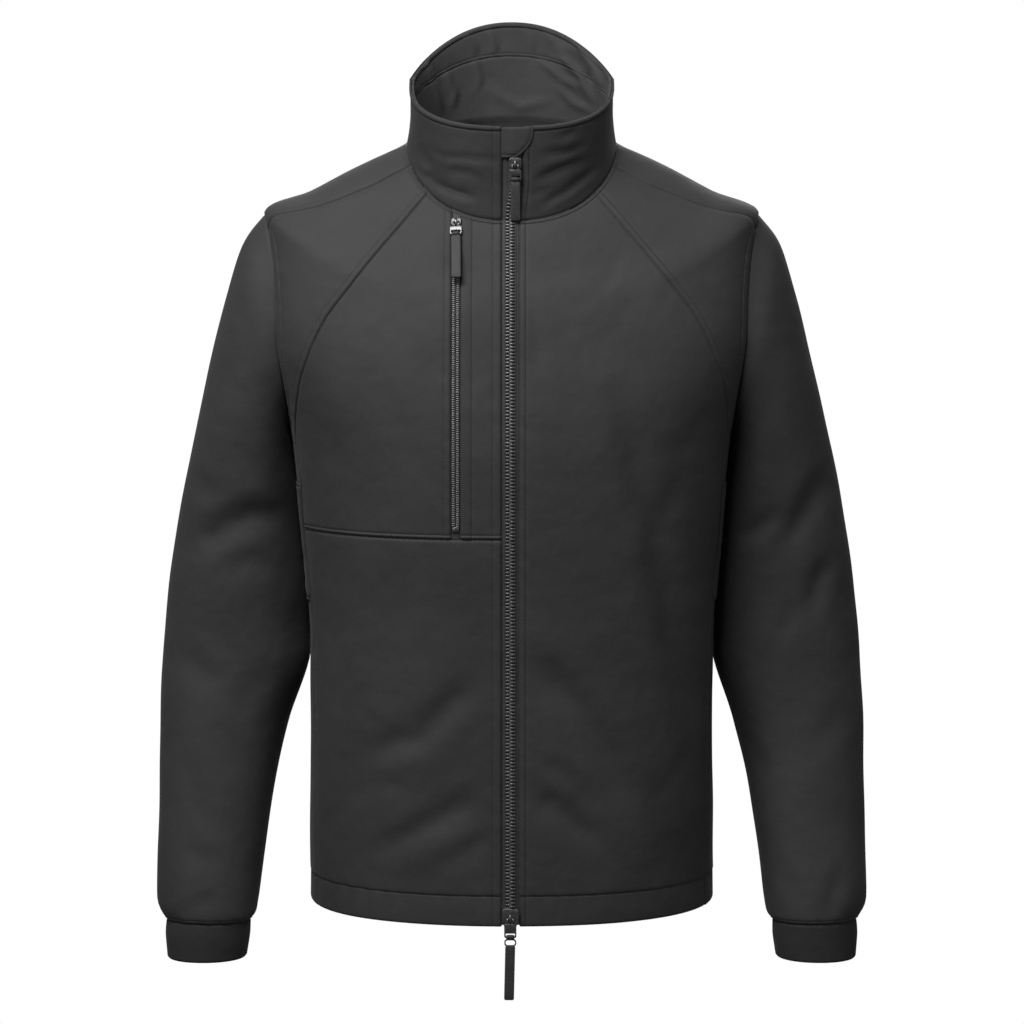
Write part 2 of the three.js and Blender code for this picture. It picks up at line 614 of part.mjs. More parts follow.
// The slider: plates before and behind the tape, joined past the closed teeth, and a bridge for the tab.
const SLIDER = { halfWidth: 5.2, halfHeight: 6, plate: 1.4, clear: 0.4 };
const WEDGE = { half: 1.3, length: 2.2, clear: 0.5 }; // joins the plates past the closed teeth
const BRIDGE = { half: 1.2, inside: 2.2, leg: 1.2, rise: 2, bar: 1 };
const TAB_AXIS = CHAIN_PROUD + SLIDER.clear + SLIDER.plate + BRIDGE.rise / 2; // its height out of the cloth
const BEHIND = -(CLOTH + GAP + TAPE);
function slider(size, wedge) {
  const face = CHAIN_PROUD + SLIDER.clear;
  const top = face + SLIDER.plate;
  const [w, h] = [size * SLIDER.halfWidth, size * SLIDER.halfHeight];
  const back = BEHIND - SLIDER.clear;
  const front = plate(w, -h, h, face, top, 2);
  const rear = plate(w, -h, h, back - 1.2, back, 2);
  const joinY = wedge > 0 ? h - WEDGE.length : -h;
  const join = box(-WEDGE.half, WEDGE.half, joinY, joinY + WEDGE.length, back - 0.4, face + 0.4);
  const reach = BRIDGE.inside + BRIDGE.leg;
  const arch = box(-BRIDGE.half, BRIDGE.half, -reach, reach, top - 0.2, top + BRIDGE.rise + BRIDGE.bar);
  const hole = box(-2, 2, -BRIDGE.inside, BRIDGE.inside, top, top + BRIDGE.rise);
  return front.add(rear).add(join).add(arch.subtract(hole));
}

// The pull tab: a pin under the bridge, two arms, a plate and a slot for the puller.
const TAB = { thick: 1.3, pin: 0.68, armIn: 1.6, armOut: 3.4, window: 4.5, bar: 1.5, slot: 2.4, side: 1.3 };
function tab(halfWidth, length) {
  const [z0, z1] = [TAB_AXIS - TAB.thick / 2, TAB_AXIS + TAB.thick / 2];
  const pin = wasm.Manifold.cylinder(2 * TAB.armOut, TAB.pin, TAB.pin, 12)
    .rotate([0, 90, 0])
    .translate([-TAB.armOut, 0, TAB_AXIS]);
  const arms = plate(TAB.armOut, -TAB.window - 2, TAB.pin, z0, z1, 0.6);
  const window = box(-TAB.armIn, TAB.armIn, -TAB.window, 2, z0 - 1, z1 + 1);
  const body = plate(halfWidth, -length, -TAB.window - 0.4, z0, z1, 1.2);
  const slot = box(
    TAB.side - halfWidth,
    halfWidth - TAB.side,
    TAB.bar - length,
    TAB.bar + TAB.slot - length,
    z0 - 1,
    z1 + 1,
  );
  return arms.subtract(window).add(pin).add(body).subtract(slot);
}

// The puller: a folded strip of cloth with a loop round the tab's lower bar.
function puller(tabHalf, tabLength, halfWidth, length) {
  const [z0, z1] = [TAB_AXIS - TAB.thick / 2 - GAP, TAB_AXIS + TAB.thick / 2 + GAP];
  const [low, high] = [-tabLength - GAP, TAB.bar + GAP - tabLength];
  const loopHalf = tabHalf - TAB.side - GAP;
  const loop = box(-loopHalf, loopHalf, low - 1, high + 1, z0 - 1, z1 + 1);
  const hole = box(-loopHalf - 1, loopHalf + 1, low, high, z0, z1);
  const strip = plate(halfWidth, low - length, low - 0.4, TAB_AXIS - 1.1, TAB_AXIS + 1.1, 1);
  return loop.subtract(hole).add(strip);
}

const group = new THREE.Group();
const panel = (name, grid, edges) =>
  group.add(wall(name, DARK, inset(grid, edges), 0, CLOTH, edges.includes("round")));

// Body panels
const LOWER_LEVELS = SIDE_LEVELS.filter((level) => level <= CHEST_SEAM);
const CHEST_LEVELS = PRINCESS_LEVELS.filter((level) => level >= CHEST_SEAM);

panel("back", backGrid(BACK_COLUMNS / 2), ["start", "end", "high"]);
panel("side_front_left", sideFrontGrid(1, SIDE_COLUMNS), ["start", "end", "high"]);
panel("side_front_right", sideFrontGrid(-1, SIDE_COLUMNS), ["start", "end", "high"]);
panel("front_left", frontGrid(PRINCESS_LEVELS, "left"), ["end", "high"]);
panel("front_right_lower", frontGrid(LOWER_LEVELS, "rightWhole"), ["start", "high"]);
panel("chest_right_outer", frontGrid(CHEST_LEVELS, "rightOuter"), ["start", "low", "high"]);
panel("chest_right_inner", frontGrid(CHEST_LEVELS, "rightInner"), ["low", "high"]);

// Hand pocket welts, laid on the side fronts beside the princess seams
const WELT = { firstRow: 6, lastRow: 10, shares: [0.03, 0.25, 0.5] };
function weltGrid(side) {
  const outer = outerEdge(FRONT_ARMHOLE);
  return outer.slice(WELT.firstRow, WELT.lastRow).map(([turn, level]) => {
    const start = princessTurn(level);
    return WELT.shares.map((share) => torsoSpot(side * (start + (turn - start) * share), level));
  });
}
group.add(wall("hand_pocket_left", DARK, weltGrid(1), GAP + LINING, LINING));
group.add(wall("hand_pocket_right", DARK, weltGrid(-1), GAP + LINING, LINING));

// Sleeves and cuffs
for (const [side, suffix] of [[1, "left"], [-1, "right"]]) {
  panel(`sleeve_${suffix}`, sleeveGrid(side), ["low", "high", "round"]);
  panel(`cuff_${suffix}`, cuffGrid(side), ["low", "round"]);
}

// Collar: the outer collar, the facing band at the rim and the lining below it
panel("collar_outer", collarGrid(COLLAR_RINGS, () => rightEdge(), leftEdge), ["low"]);
const liningEdges = [() => rightEdge() - TAPE_HIDDEN - 0.6, (ring) => leftEdge(ring) + TAPE_HIDDEN + 0.6];
const bandRings = COLLAR_RINGS.filter((ring) => ring >= BAND_SEAM);
const liningRings = COLLAR_RINGS.filter((ring) => ring <= BAND_SEAM);
const under = -(CLOTH + GAP);
const inner = (name, rings, edges) =>
  group.add(wall(name, INSIDE, inset(collarGrid(rings, ...liningEdges, 1), edges), under, LINING));
inner("collar_facing", bandRings, ["low"]);
inner("collar_lining", liningRings, ["low", "high"]);

// Zip garage: a flap over the top end of the front zip
const GARAGE = [
  { ring: 2.68, left: -8.6, right: 3.6 },
  { ring: 2.82, left: -9.2, right: 8.6 },
  { ring: 3.02, left: -9.8, right: 12.9 },
  { ring: 3.35, left: -11, right: 17.4 },
  { ring: 3.7, left: -12, right: 19.2 },
  { ring: 3.96, left: -12.7, right: 19.7 },
];
const garageGrid = GARAGE.map(({ ring, left, right }) =>
  steps(left, right, 4).map((x) => spotOn(COLLAR_FORM, turnAt(COLLAR, x, ring), ring)),
);
group.add(wall("zip_garage", DARK, garageGrid, GAP + 1.2, 1.2));

// Front zip
const ZIP_LEVELS = [0.05, ...PRINCESS_LEVELS.slice(1)];
const tapeEdges = (ring) => [rightEdge() - TAPE_HIDDEN, leftEdge(ring) + TAPE_HIDDEN];
const chainEdges = (ring) => [chainX(ring) - ZIP.chain / 2, chainX(ring) + ZIP.chain / 2];
const tapeGrid = frontStrip(ZIP_LEVELS, COLLAR_RINGS.slice(1, -1).concat(3.9), tapeEdges, 4);
const chainGrid = frontStrip(ZIP_LEVELS, [0.8, 1.7, 2.2], chainEdges, 2);
const frontTape = wall("front_zip_tape", TAPE_FINISH, tapeGrid, under, TAPE);
group.add(wall("front_zip_teeth", TEETH, chainGrid, CHAIN_PROUD, CLOTH + CHAIN_PROUD));

// Chest pocket zip
const pocketStrip = (half, low, top, count) => {
  const middle = CHEST_LEVELS.slice(1).filter((level) => level < top - 0.1);
  const levels = [low, ...(low < CHEST_SEAM ? [CHEST_SEAM] : []), ...middle, top];
  return frontStrip(levels, [], () => [POCKET_ZIP.chainX - half, POCKET_ZIP.chainX + half], count);
};
const pocketTapeGrid = pocketStrip(POCKET_ZIP.window / 2 + TAPE_HIDDEN, CHEST_SEAM - 0.08, 10.93, 3);
const pocketTape = wall("pocket_zip_tape", TAPE_FINISH, pocketTapeGrid, under, TAPE);
const coilGrid = pocketStrip(POCKET_ZIP.chain / 2, CHEST_SEAM + 0.06, 10.66, 1);
group.add(wall("pocket_zip_teeth", TEETH, coilGrid, CHAIN_PROUD, CLOTH + CHAIN_PROUD));

// A mesh with a flat-made body cut out of it.
function cut(mesh, body, frame) {
  const merged = mergeVertices(mesh.geometry, 1e-3);
  const solidMesh = new wasm.Mesh({
    numProp: 3,
    vertProperties: merged.attributes.position.array,
    triVerts: new Uint32Array(merged.index.array),
  });
  const left = new wasm.Manifold(solidMesh).subtract(body.transform(frame.elements));
  return placed(mesh.name, mesh.material, left, new THREE.Matrix4());
}

// Sliders, tabs and pullers. wedge: which end joins the slider's plates, 1 above and -1 below the teeth.
// at: the ring or level of the slider's middle. Both tapes part round the wedge of a slider that joins above.
const SLIDERS = [
  { name: "top", on: "collar", x: chainX(2.36), at: 2.36, wedge: 1, size: 1, tab: 14, strip: 36 },
  { name: "pocket", on: "torso", x: POCKET_ZIP.chainX, at: 10.6, wedge: 1, size: 0.8, tab: 13, strip: 44 },
  { name: "bottom", on: "torso", x: ZIP.chainX, at: 0.08, wedge: -1, size: 1.4, tab: 17, strip: 55 },
];
const TAPES = { top: frontTape, pocket: pocketTape };
for (const { name, on, x, at, wedge, size, tab: length, strip } of SLIDERS) {
  const tape = TAPES[name];
  const frame = on === "collar" ? frameAt(COLLAR, COLLAR_FORM, x, at) : frameAt(TORSO, TORSO_FORM, x, at);
  group.add(placed(`${name}_slider`, METAL, slider(size, wedge), frame));
  group.add(placed(`${name}_tab`, METAL, tab(5.4, length), frame));
  group.add(placed(`${name}_puller`, PULLER, puller(5.4, length, 5.6, strip), frame));
  if (!tape) continue;
  const [half, top] = [WEDGE.half + WEDGE.clear, size * SLIDER.halfHeight + WEDGE.clear];
  const slot = box(-half, half, top - WEDGE.length - 2 * WEDGE.clear, top, BEHIND - 1, -CLOTH);
  group.add(cut(tape, slot, frame));
}

export default group;
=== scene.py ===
"""A softshell jacket in its worn shape, with nothing inside it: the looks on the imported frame."""

import math

import bmesh
import bpy
import numpy as np
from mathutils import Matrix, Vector

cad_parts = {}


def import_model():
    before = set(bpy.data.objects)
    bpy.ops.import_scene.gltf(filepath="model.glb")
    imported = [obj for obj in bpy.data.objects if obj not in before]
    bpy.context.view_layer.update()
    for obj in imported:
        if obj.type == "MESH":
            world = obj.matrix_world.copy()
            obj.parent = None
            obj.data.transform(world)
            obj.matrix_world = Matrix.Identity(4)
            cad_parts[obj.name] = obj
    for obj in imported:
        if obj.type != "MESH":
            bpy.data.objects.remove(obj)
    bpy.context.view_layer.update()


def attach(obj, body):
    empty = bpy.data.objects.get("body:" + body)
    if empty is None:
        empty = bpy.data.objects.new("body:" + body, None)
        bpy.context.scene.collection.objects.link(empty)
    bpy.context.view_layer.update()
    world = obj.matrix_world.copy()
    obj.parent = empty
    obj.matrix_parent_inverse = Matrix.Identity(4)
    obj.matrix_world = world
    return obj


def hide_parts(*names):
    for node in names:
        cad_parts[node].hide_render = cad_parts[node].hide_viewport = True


# Sizes in millimetres, in the part's frame: +Z up, the wearer faces -Y, their left arm is at +X
CLOTH = 1.6
LINING = 1.2
GAP = 0.3  # between pieces at a seam
UNDER = -(CLOTH + GAP)  # the outer face of what lies right behind the cloth
SPACING, COLLAR_SPACING, GARAGE_SPACING = 4.4, 3.2, 1.8  # between the mesh lines in a panel's middle
LEAST_SPACING = 0.28  # between those near an edge
SLEEVE_COLUMNS = 88
CALM = 16.0  # folds start this far from a line where the cloth lies still
MITRE = 6.0  # two walls that meet at an angle turn to one plane over this length
MOST_ASLANT = math.cos(math.radians(40))  # of that plane
MITRE_ROWS = 0.35  # past the armhole's ends, over which it stops
SIDE_SEAM = {"turn": 90, "back": 7, "over": 3}  # degrees, and the levels under the arm where it goes back
FREE_EDGE = {"thinner": 0.4, "reach": 0.7, "bulge": 0.55}  # the rounding of an edge that isn't sewn
WAVES = {"long": 80.0, "high": 0.5, "count": 14}  # that no cloth lies without
PUCKERS = {"long": 2.6, "high": 0.3, "reach": 6.0}  # beside a line of stitches
STITCH = {"long": 2.5, "pitch": 3.3, "half": 0.33, "first": 1.0, "sunk": 0.1}

# The front zip: where the cloth ends at each side, where its chain is, and how far these lean at the collar
ZIP = {"right": -9.0, "left": 7.4, "edge_lean": 3.2, "chain": -1.1, "chain_lean": 4.4, "lean_rings": 1.6}
ZIP_ENDS = {"bottom": 0.01, "collar": 0.06, "chain_top": 2.2}  # the last two on the collar's rings
POCKET = {"x": -49.5, "window": 8.4}  # the chest pocket's zip
POCKET_ENDS = {"tape": (0.004, 10.93), "chain": (0.1, 10.66)}  # over the chest seam, and the top level
TAPE = {"thick": 0.8, "hidden": 8.0, "rise": 0.9, "front_share": 0.247, "pocket_share": 0.328}
TEETH = {"half": (2.7, 1.05, 1.2), "bevel": 0.5, "first": 7.0, "pitch": 3.1, "off": 1.65, "proud": -0.65}
COIL = {"half": (1.45, 0.62, 0.8), "bevel": 0.3, "first": 6.0, "pitch": 1.95, "off": 1.9, "proud": -0.2}
CORDS = {"off": 4.6, "sunk": 0.9, "half": (0.8, 0.6)}  # beside the teeth
STOP = {"half": (3.1, 2.2, 0.9), "bevel": 0.5, "up": 3.4, "sunk": 0.5}  # at the pocket zip's lower end

# The sliders, tabs and pullers, as flat shapes: x right, y up along the cloth and z out of it
SLIDER = {
    "half_width": 5.2, "half_height": 6.0, "plate": 1.4, "clear": 0.6, "corner": 2.0, "bevel": 0.35,
    "back": -3.1, "back_plate": 1.2, "lip": 0.35, "bridge_reach": 3.4, "bridge_rise": 2.8,
}
TAB_AXIS = 3.0
TAB = {
    "thick": 1.3, "half": 5.4, "window": 4.5, "bar": 1.5, "slot": 2.4, "side": 1.3, "corner": 1.6,
    "pin": 3.2, "pin_half": 0.55, "arm": 2.5, "arm_ends": (0.1, -2.5, -5.7), "arm_half": (0.8, 0.6),
}
PULLER = {
    "half": 4.4, "half_thick": 1.05, "corner": 1.6, "round_bar": (1.62, 1.52), "wrap": 0.5,
    "below_bar": 0.9, "side_gap": 0.45,
}
EYE = {"half": 5.3, "side": 1.15, "half_thick": 0.8, "corners": (2.6, 1.9), "over": 0.5}
SLIDERS = [
    # name, on the collar, x, ring or level, wedge end, size, tab, strip, bend, eye
    ("top", True, ZIP["chain"] + ZIP["chain_lean"], 2.36, 1, 1.0, 14, 36, 0.5, 0),
    ("pocket", False, POCKET["x"], 10.6, 1, 0.8, 13, 44, 1.1, 0),
    ("bottom", False, ZIP["chain"], 0.08, -1, 1.4, 17, 55, -1.3, 6.5),
]
BODY_OF = {"top": "top_pull", "pocket": "pocket_pull", "bottom": "bottom_pull"}
ALONE = {"front_zip_cords", "pocket_zip_stop", "stitches"}  # these replace no solid
EDGES = ("start", "end", "low", "high")  # of a panel
SIDES = {1: "left", -1: "right"}

BODY_COLUMNS = "sideX sideZ frontY frontZ frontBox frontFall backY backZ backBox backFall".split()
ARM_COLUMNS = "outerX outerZ innerX innerZ middleY depth".split()


def rings(columns, rows):
    return {name: np.array([row[i] for row in rows], float) for i, name in enumerate(columns)}


# The torso's rings, from the hem up to the neck seam
TORSO = rings(BODY_COLUMNS, [
    [188, -693.5, -146, -696.5, 2.25, 1, 120, -693, 2.25, 2],
    [188, -610, -142, -610, 2.3, 2, 114, -610, 2.3, 2],
    [187, -530, -138, -530, 2.35, 2, 102, -530, 2.35, 2],
    [187, -460, -135, -460, 2.4, 2, 94, -460, 2.4, 2],
    [190, -402, -135, -404, 2.45, 2, 96, -402, 2.45, 2],
    [195, -349, -137, -355, 2.5, 2, 102, -345, 2.5, 2],
    [204, -257, -138, -287, 2.55, 2, 112, -260, 2.55, 2],
    [227, -155, -131, -218, 2.6, 2, 114, -168, 2.5, 2],
    [228, -60.5, -116, -150, 2.3, 2, 100, -92, 2.2, 2.2],
    [184, -38.5, -104, -119, 2.3, 1.8, 86, -46, 2.2, 2.4],
    [140, -15.5, -95, -93, 2.35, 1.5, 74, -6, 2.2, 2],
    [97, 4, -86, -71, 2.4, 1.35, 64, 32, 2.2, 1.4],
])
CHEST_SEAM, UNDERARM, SHOULDER, NECK = 5, 6, 8, 11

# The collar's rings, from the neck seam up to the rim
COLLAR = rings(BODY_COLUMNS, [
    [97, 4, -86, -71, 2.4, 1.35, 64, 32, 2.2, 1.4],
    [94, 20, -87, -49, 2.4, 1.25, 64, 55, 2.15, 1.48],
    [93, 36, -89, -28.5, 2.45, 1.1, 65, 78, 2.1, 1.52],
    [93, 50.5, -91, -8.5, 2.5, 0.98, 65.5, 101, 2.1, 1.6],
    [93.7, 65, -93, 12, 2.5, 0.88, 65.5, 123.2, 2.14, 1.68],
])
RIM, BAND_SEAM = 4, 2.6

# A sleeve's rings, from the armhole to the cuff seam
SLEEVE = rings(ARM_COLUMNS, [
    [228, -60.5, 205, -257, 2, 64],
    [248, -86, 205.6, -266, 4, 66],
    [265, -136, 203, -280, 9, 67],
    [281.5, -200, 199.8, -301, 15, 67],
    [296.5, -266, 195.8, -331, 20, 65],
    [310.5, -336, 191, -374, 24, 62],
    [321.5, -404, 187.6, -424, 25, 59],
    [327.5, -468, 188.5, -466, 22, 56],
    [329.8, -532, 208.3, -532, 14, 53],
    [329.2, -592, 221.5, -592, 0, 49],
    [329, -648, 229.6, -648, -14, 46],
    [328.2, -690, 234.5, -692, -26, 43],
    [323.5, -704, 237, -706, -30, 41],
    [319, -710, 241.5, -711.5, -33, 36.5],
])
CUFF_SEAM, ARM_BOX = 13, 2.1
CUFF = rings(ARM_COLUMNS, [
    [319, -710, 241.5, -711.5, -33, 36.5],
    [319.5, -722, 242, -723, -33.5, 36.5],
    [318, -745.5, 245.5, -745.5, -34.5, 35.5],
])

# The zip garage's ends and the rings they are on, from its lower edge up
GARAGE = rings(["ring", "left", "right"], [
    [2.68, -8.7, 3.6], [2.82, -8.7, 8.6], [3.02, -8.7, 12.9],
    [3.35, -8.7, 17.4], [3.7, -8.7, 19.2], [3.96, -8.7, 19.7],
])
GARAGE_THICK = 1.2
WELT = {"rows": (6, 9), "across": (0.03, 0.5)}  # the hand pockets' welts, as shares of the side fronts

# The princess seam as it is seen from the front: how far from the middle it runs at each height
PRINCESS = rings(["z", "x"], [
    [-700, 178], [-460, 180], [-402, 183.6], [-350, 190], [-300, 192.8], [-262, 197], [-220, 191.1],
    [-190, 181.1], [-160, 166.4], [-130, 144.1], [-100, 120.8], [-70, 96.2], [-40, 72.2],
])
FORWARD_SEAM = [(67.6, 8.55), (65.2, 9.35), (64.4, 10.15), (67.0, 11)]  # turn, level, from the armhole
SIDE_LEVELS = [0, 0.6, 1.25, 1.9, 2.5, 3.1, 3.75, 4.4, CHEST_SEAM, 5.5, UNDERARM]
ARM_STEP = 18
FRONT_ANGLES = list(range(180 - ARM_STEP, ARM_STEP, -ARM_STEP))
BACK_ANGLES = list(range(180 + ARM_STEP, 360 + 2 * ARM_STEP + 1, ARM_STEP))
ARMHOLE_FRONT, ARMHOLE_BACK = math.radians(27), math.radians(31)
PRINCESS_LEVELS = (
    SIDE_LEVELS
    + list(np.linspace(UNDERARM, 9.5, len(FRONT_ANGLES) + 1)[1:])
    + list(np.linspace(9.5, NECK, len(FORWARD_SEAM) + 1)[1:])
)
SIDE_ROWS = len(SIDE_LEVELS) - 1
FRONT_ROWS, BACK_ROWS = len(FRONT_ANGLES), len(BACK_ANGLES)
TORSO_ROWS = SIDE_ROWS + BACK_ROWS + len(FORWARD_SEAM)


class Edge:
    """How cloth lies along a seam or edge.

    It rolls down there by roll over reach. A band up to its last stitch line is raised, or drawn in when
    negative. A piping of the given width stands proud, with a groove beside it.
    """

    BAND_PAST, BAND_SLOPE = 1.6, 2.6
    STITCH_DEEP, STITCH_REACH = 0.65, 0.85
    GROOVE_AT, GROOVE_DEEP, GROOVE_REACH = 0.3, 0.6, 0.7
    MARKS = (0, 0.35, 0.8, 1.4, 2.2, 3.4)
    STITCH_MARKS = (-1.7, -1.0, -0.5, 0, 0.5, 1.0, 1.7)
    PIPING_MARKS, GROOVE_MARKS = (0.12, 0.3, 0.5, 0.7, 0.88), (0, 0.5, 1.2, 2)

    def __init__(self, stitches=(), roll=0.7, reach=1.2, band=0.0, piping=0.0, proud=0.5):
        self.stitches, self.roll, self.reach = list(stitches), roll, reach
        self.band, self.piping, self.proud = band, piping, proud

    def height(self, d):
        h = -self.roll * bell(d / self.reach)
        if self.band:
            past = self.stitches[-1] + self.BAND_PAST - d
            h = h + self.band * smooth(past / self.BAND_SLOPE) * smooth(d / self.BAND_PAST)
        if self.piping:
            across = np.clip(1 - (2 * d / self.piping - 1) ** 2, 0, 1)
            groove = bell((d - self.piping - self.GROOVE_AT) / self.GROOVE_REACH)
            h = h + self.proud * np.sqrt(across) - self.GROOVE_DEEP * groove
        for s in self.stitches:
            h = h - self.STITCH_DEEP * bell((d - s) / self.STITCH_REACH)
        return h

    def marks(self):
        """Distances of the mesh lines that its shape needs."""
        marks = list(self.MARKS)
        if self.piping:
            marks += [self.piping * t for t in self.PIPING_MARKS]
            marks += [self.piping + d for d in self.GROOVE_MARKS]
        for s in self.stitches:
            marks += [s + d for d in self.STITCH_MARKS]
        return marks


# How the edges are finished
PLAIN = Edge(roll=0)
SEAM = Edge(roll=1.0)
SHOULDER_SEAM = Edge(roll=2.7, reach=1.6)
UNDERARM_EASE = Edge(roll=-1.6, reach=15)  # cloth that stands a little out of the sleeve where the arm starts
FELLED = Edge([6.2], roll=1.1, reach=1.3, band=0.55)
ARM_SEAM = Edge([9.7], roll=1.0, reach=1.3, band=0.4)
NECK_SEAM = Edge(roll=1.2, reach=1.6, piping=3.6, proud=0.5)
CHEST_EDGE = Edge(roll=1.3, reach=1.5, piping=3.8, proud=0.55)
HEM = Edge([26.0], roll=0.5, reach=1.0, band=-0.45)
PLACKET_RIGHT, PLACKET_LEFT, POCKET_NARROW, POCKET_WIDE = (
    Edge([stitch], roll=0.5, reach=0.9, band=0.3) for stitch in (7.4, 5.4, 6.0, 10.2)
)
RIM_EDGE = Edge(roll=0.3, reach=0.6, piping=4.0, proud=0.6)
RIM_INSIDE = Edge(roll=0.2, reach=0.6, piping=4.2, proud=0.8)
BAND = Edge([2.4], roll=0.7, band=0.25)
CUFF_TOP = Edge([3.2], roll=1.1, reach=1.4, band=0.45)
CUFF_HEM = Edge(roll=0.3, reach=0.7)
GARAGE_FOLD = Edge([1.8], roll=0.3, reach=0.7)
WELT_FOLD = Edge([2.6], roll=0.35, reach=0.8)

# Folds as soft troughs along points (x, z) seen from the front or the back. lift is the height of a ridge
# beside the trough: to the left of its path when positive, to the right when negative.
FOLDS = {
    ("torso", "front"): [
        # wide, deep, lift, path
        (20, 4.2, 0.8, [(-35, -484), (-52, -497), (-84, -532), (-106, -536), (-138, -562)]),
        (18, 3.7, 0.7, [(-35, -583), (-73, -607), (-95, -620), (-127, -643)]),
        (14, 1.5, -0.5, [(-20, -618), (-73, -654)]),
        (31, 2, 0.5, [(-160, -357), (-163, -450), (-158, -545)]),
        (16, 1, 0.3, [(-150, -590), (-120, -572), (-88, -578)]),
        (22, 4.4, 0.8, [(24, -463), (61, -506), (86, -549), (110, -613)]),
        (14, 1.5, 0.4, [(24, -550), (50, -565), (74, -600)]),
        (18, 3.5, 0.7, [(24, -579), (54, -604), (86, -633)]),
        (24, 5.2, -0.9, [(97, -230), (118, -316), (136, -358), (145, -442), (164, -519), (168, -570)]),
        (17, 1.2, 0.4, [(150, -300), (128, -360), (122, -420)]),
        (17, 1.1, 0.3, [(-172, -226), (-166, -262), (-150, -300)]),
        (18, 1.1, 0.3, [(-120, -215), (-96, -260), (-84, -300)]),
        (16, 0.9, 0.3, [(178, -240), (160, -268), (140, -278)]),
        (12, 0.8, 0.2, [(14, -120), (22, -170), (20, -230)]),
        (13, 0.7, 0.2, [(100, -110), (70, -140), (40, -150)]),
        (12, 0.7, -0.2, [(130, -590), (150, -560), (172, -548)]),
    ],
    ("torso", "back"): [
        # wide, deep, lift, path
        (33, 3.9, 0.8, [(-118, -300), (-40, -430), (-52, -560)]),
        (31, 3.6, -0.8, [(122, -270), (70, -400), (96, -540)]),
        (26, 3.2, 0.7, [(-10, -600), (40, -520), (112, -470)]),
        (19, 2.4, 0.6, [(-150, -420), (-90, -470), (-20, -490)]),
        (16, 2, 0.5, [(150, -600), (80, -640)]),
        (16, 1.7, 0.4, [(-160, -560), (-100, -610), (-60, -650)]),
        (15, 1.5, 0.4, [(-90, -60), (-60, -110), (-10, -130)]),
        (15, 1.4, 0.3, [(150, -150), (110, -190), (60, -200)]),
    ],
    ("sleeve", "front"): [
        # wide, deep, lift, path
        (22, 5.7, 1.1, [(-289, -367), (-262, -348), (-240, -338), (-205, -340)]),
        (17, 1.7, 0.5, [(-268, -392), (-240, -380), (-216, -392)]),
        (16, 1.5, 0.4, [(-300, -300), (-276, -318), (-256, -316)]),
        (16, 1.5, 0.4, [(-228, -486), (-246, -505), (-252, -530)]),
        (20, 2, 0.6, [(-304, -470), (-270, -498)]),
        (17, 1.4, 0.4, [(-300, -640), (-262, -662)]),
        (17, 1.1, 0.3, [(-306, -560), (-284, -600), (-276, -640)]),
        (14, 1.5, 0.5, [(-304, -704), (-280, -690), (-262, -688)]),
        (20, 5, -1, [(293, -300), (276, -325), (260, -354), (249, -376)]),
        (15, 3.3, 0.7, [(243, -336), (226, -350), (209, -362)]),
        (16, 3.9, 0.7, [(292, -381), (282, -403), (274, -436)]),
        (13, 1.2, 0.4, [(262, -420), (248, -448), (246, -474)]),
        (16, 1.6, 0.5, [(214, -543), (232, -578)]),
        (21, 1.7, 0.5, [(308, -520), (276, -556)]),
        (14, 2.1, 0.6, [(300, -664), (292, -690), (290, -708)]),
        (13, 1.1, 0.3, [(252, -664), (262, -694)]),
    ],
    ("sleeve", "back"): [
        # wide, deep, lift, path
        (24, 4.1, 0.9, [(-286, -300), (-262, -352), (-238, -420)]),
        (19, 2.9, 0.7, [(-306, -420), (-262, -440)]),
        (16, 2.2, 0.5, [(-300, -560), (-262, -600)]),
        (24, 4.1, 0.9, [(284, -420), (262, -372), (238, -350)]),
        (19, 2.7, 0.6, [(306, -500), (264, -536)]),
        (15, 2, 0.5, [(296, -640), (262, -620)]),
    ],
    ("collar", "front"): [
        # wide, deep, lift, path
        (7, 2.3, 0.8, [(24, -34), (40, -27), (70, -14)]),
        (6, 1.9, 0.6, [(30, -12), (50, -10), (68, -2)]),
        (6, 2, -0.6, [(26, -58), (50, -44), (80, -20)]),
        (5, 1.2, 0.4, [(20, -46), (34, -44)]),
        (5, 1.2, 0.4, [(44, 4), (60, 10)]),
        (6, 2.6, 0.7, [(-34, -50), (-52, -46), (-72, -36), (-80, -28)]),
        (5, 2.2, 0.7, [(-88, -22), (-80, -30), (-70, -31)]),
        (4, 1.5, 0.5, [(-13, -18), (-34, -16), (-60, -14), (-74, -6)]),
        (6, 1.4, 0.4, [(-56, -26), (-40, -28), (-26, -36)]),
        (7, 1.2, 0.3, [(-74, -22), (-84, 0)]),
    ],
    ("inside", "back"): [
        # wide, deep, lift, path
        (5.5, 4, 1.2, [(46, 92), (66, 72), (78, 44)]),
        (5, 3.8, 1, [(64, 100), (80, 76), (88, 50)]),
        (5, 3, 0.9, [(30, 86), (50, 68), (72, 58)]),
        (5, 2.6, 0.8, [(44, 62), (60, 46), (80, 36)]),
        (7, 2.4, 0.7, [(-20, 60), (6, 44), (40, 50)]),
        (6, 3.6, 1, [(-84, 84), (-74, 60), (-66, 34)]),
        (5, 2.4, 0.7, [(-64, 76), (-54, 56), (-58, 40)]),
        (4.5, 2.2, 0.7, [(-36, 88), (-30, 70), (-34, 58)]),
        (4.5, 2.6, 0.8, [(-46, 112), (-34, 100), (-38, 92)]),
        (4, 2.6, 0.8, [(-22, 116), (-14, 104), (-18, 94)]),
        (4, 2.2, 0.7, [(14, 116), (22, 104), (18, 95)]),
        (4.5, 2, 0.6, [(34, 112), (44, 100), (58, 96)]),
    ],
}
# A fold's cross-section, as shares of its width
FOLD = {"trough": 0.62, "ridge": 0.6, "ridge_at": 1.05, "ridge_end": 2.0}
INSIDE_BACK = 40  # behind this, the inside of the collar faces the camera in full

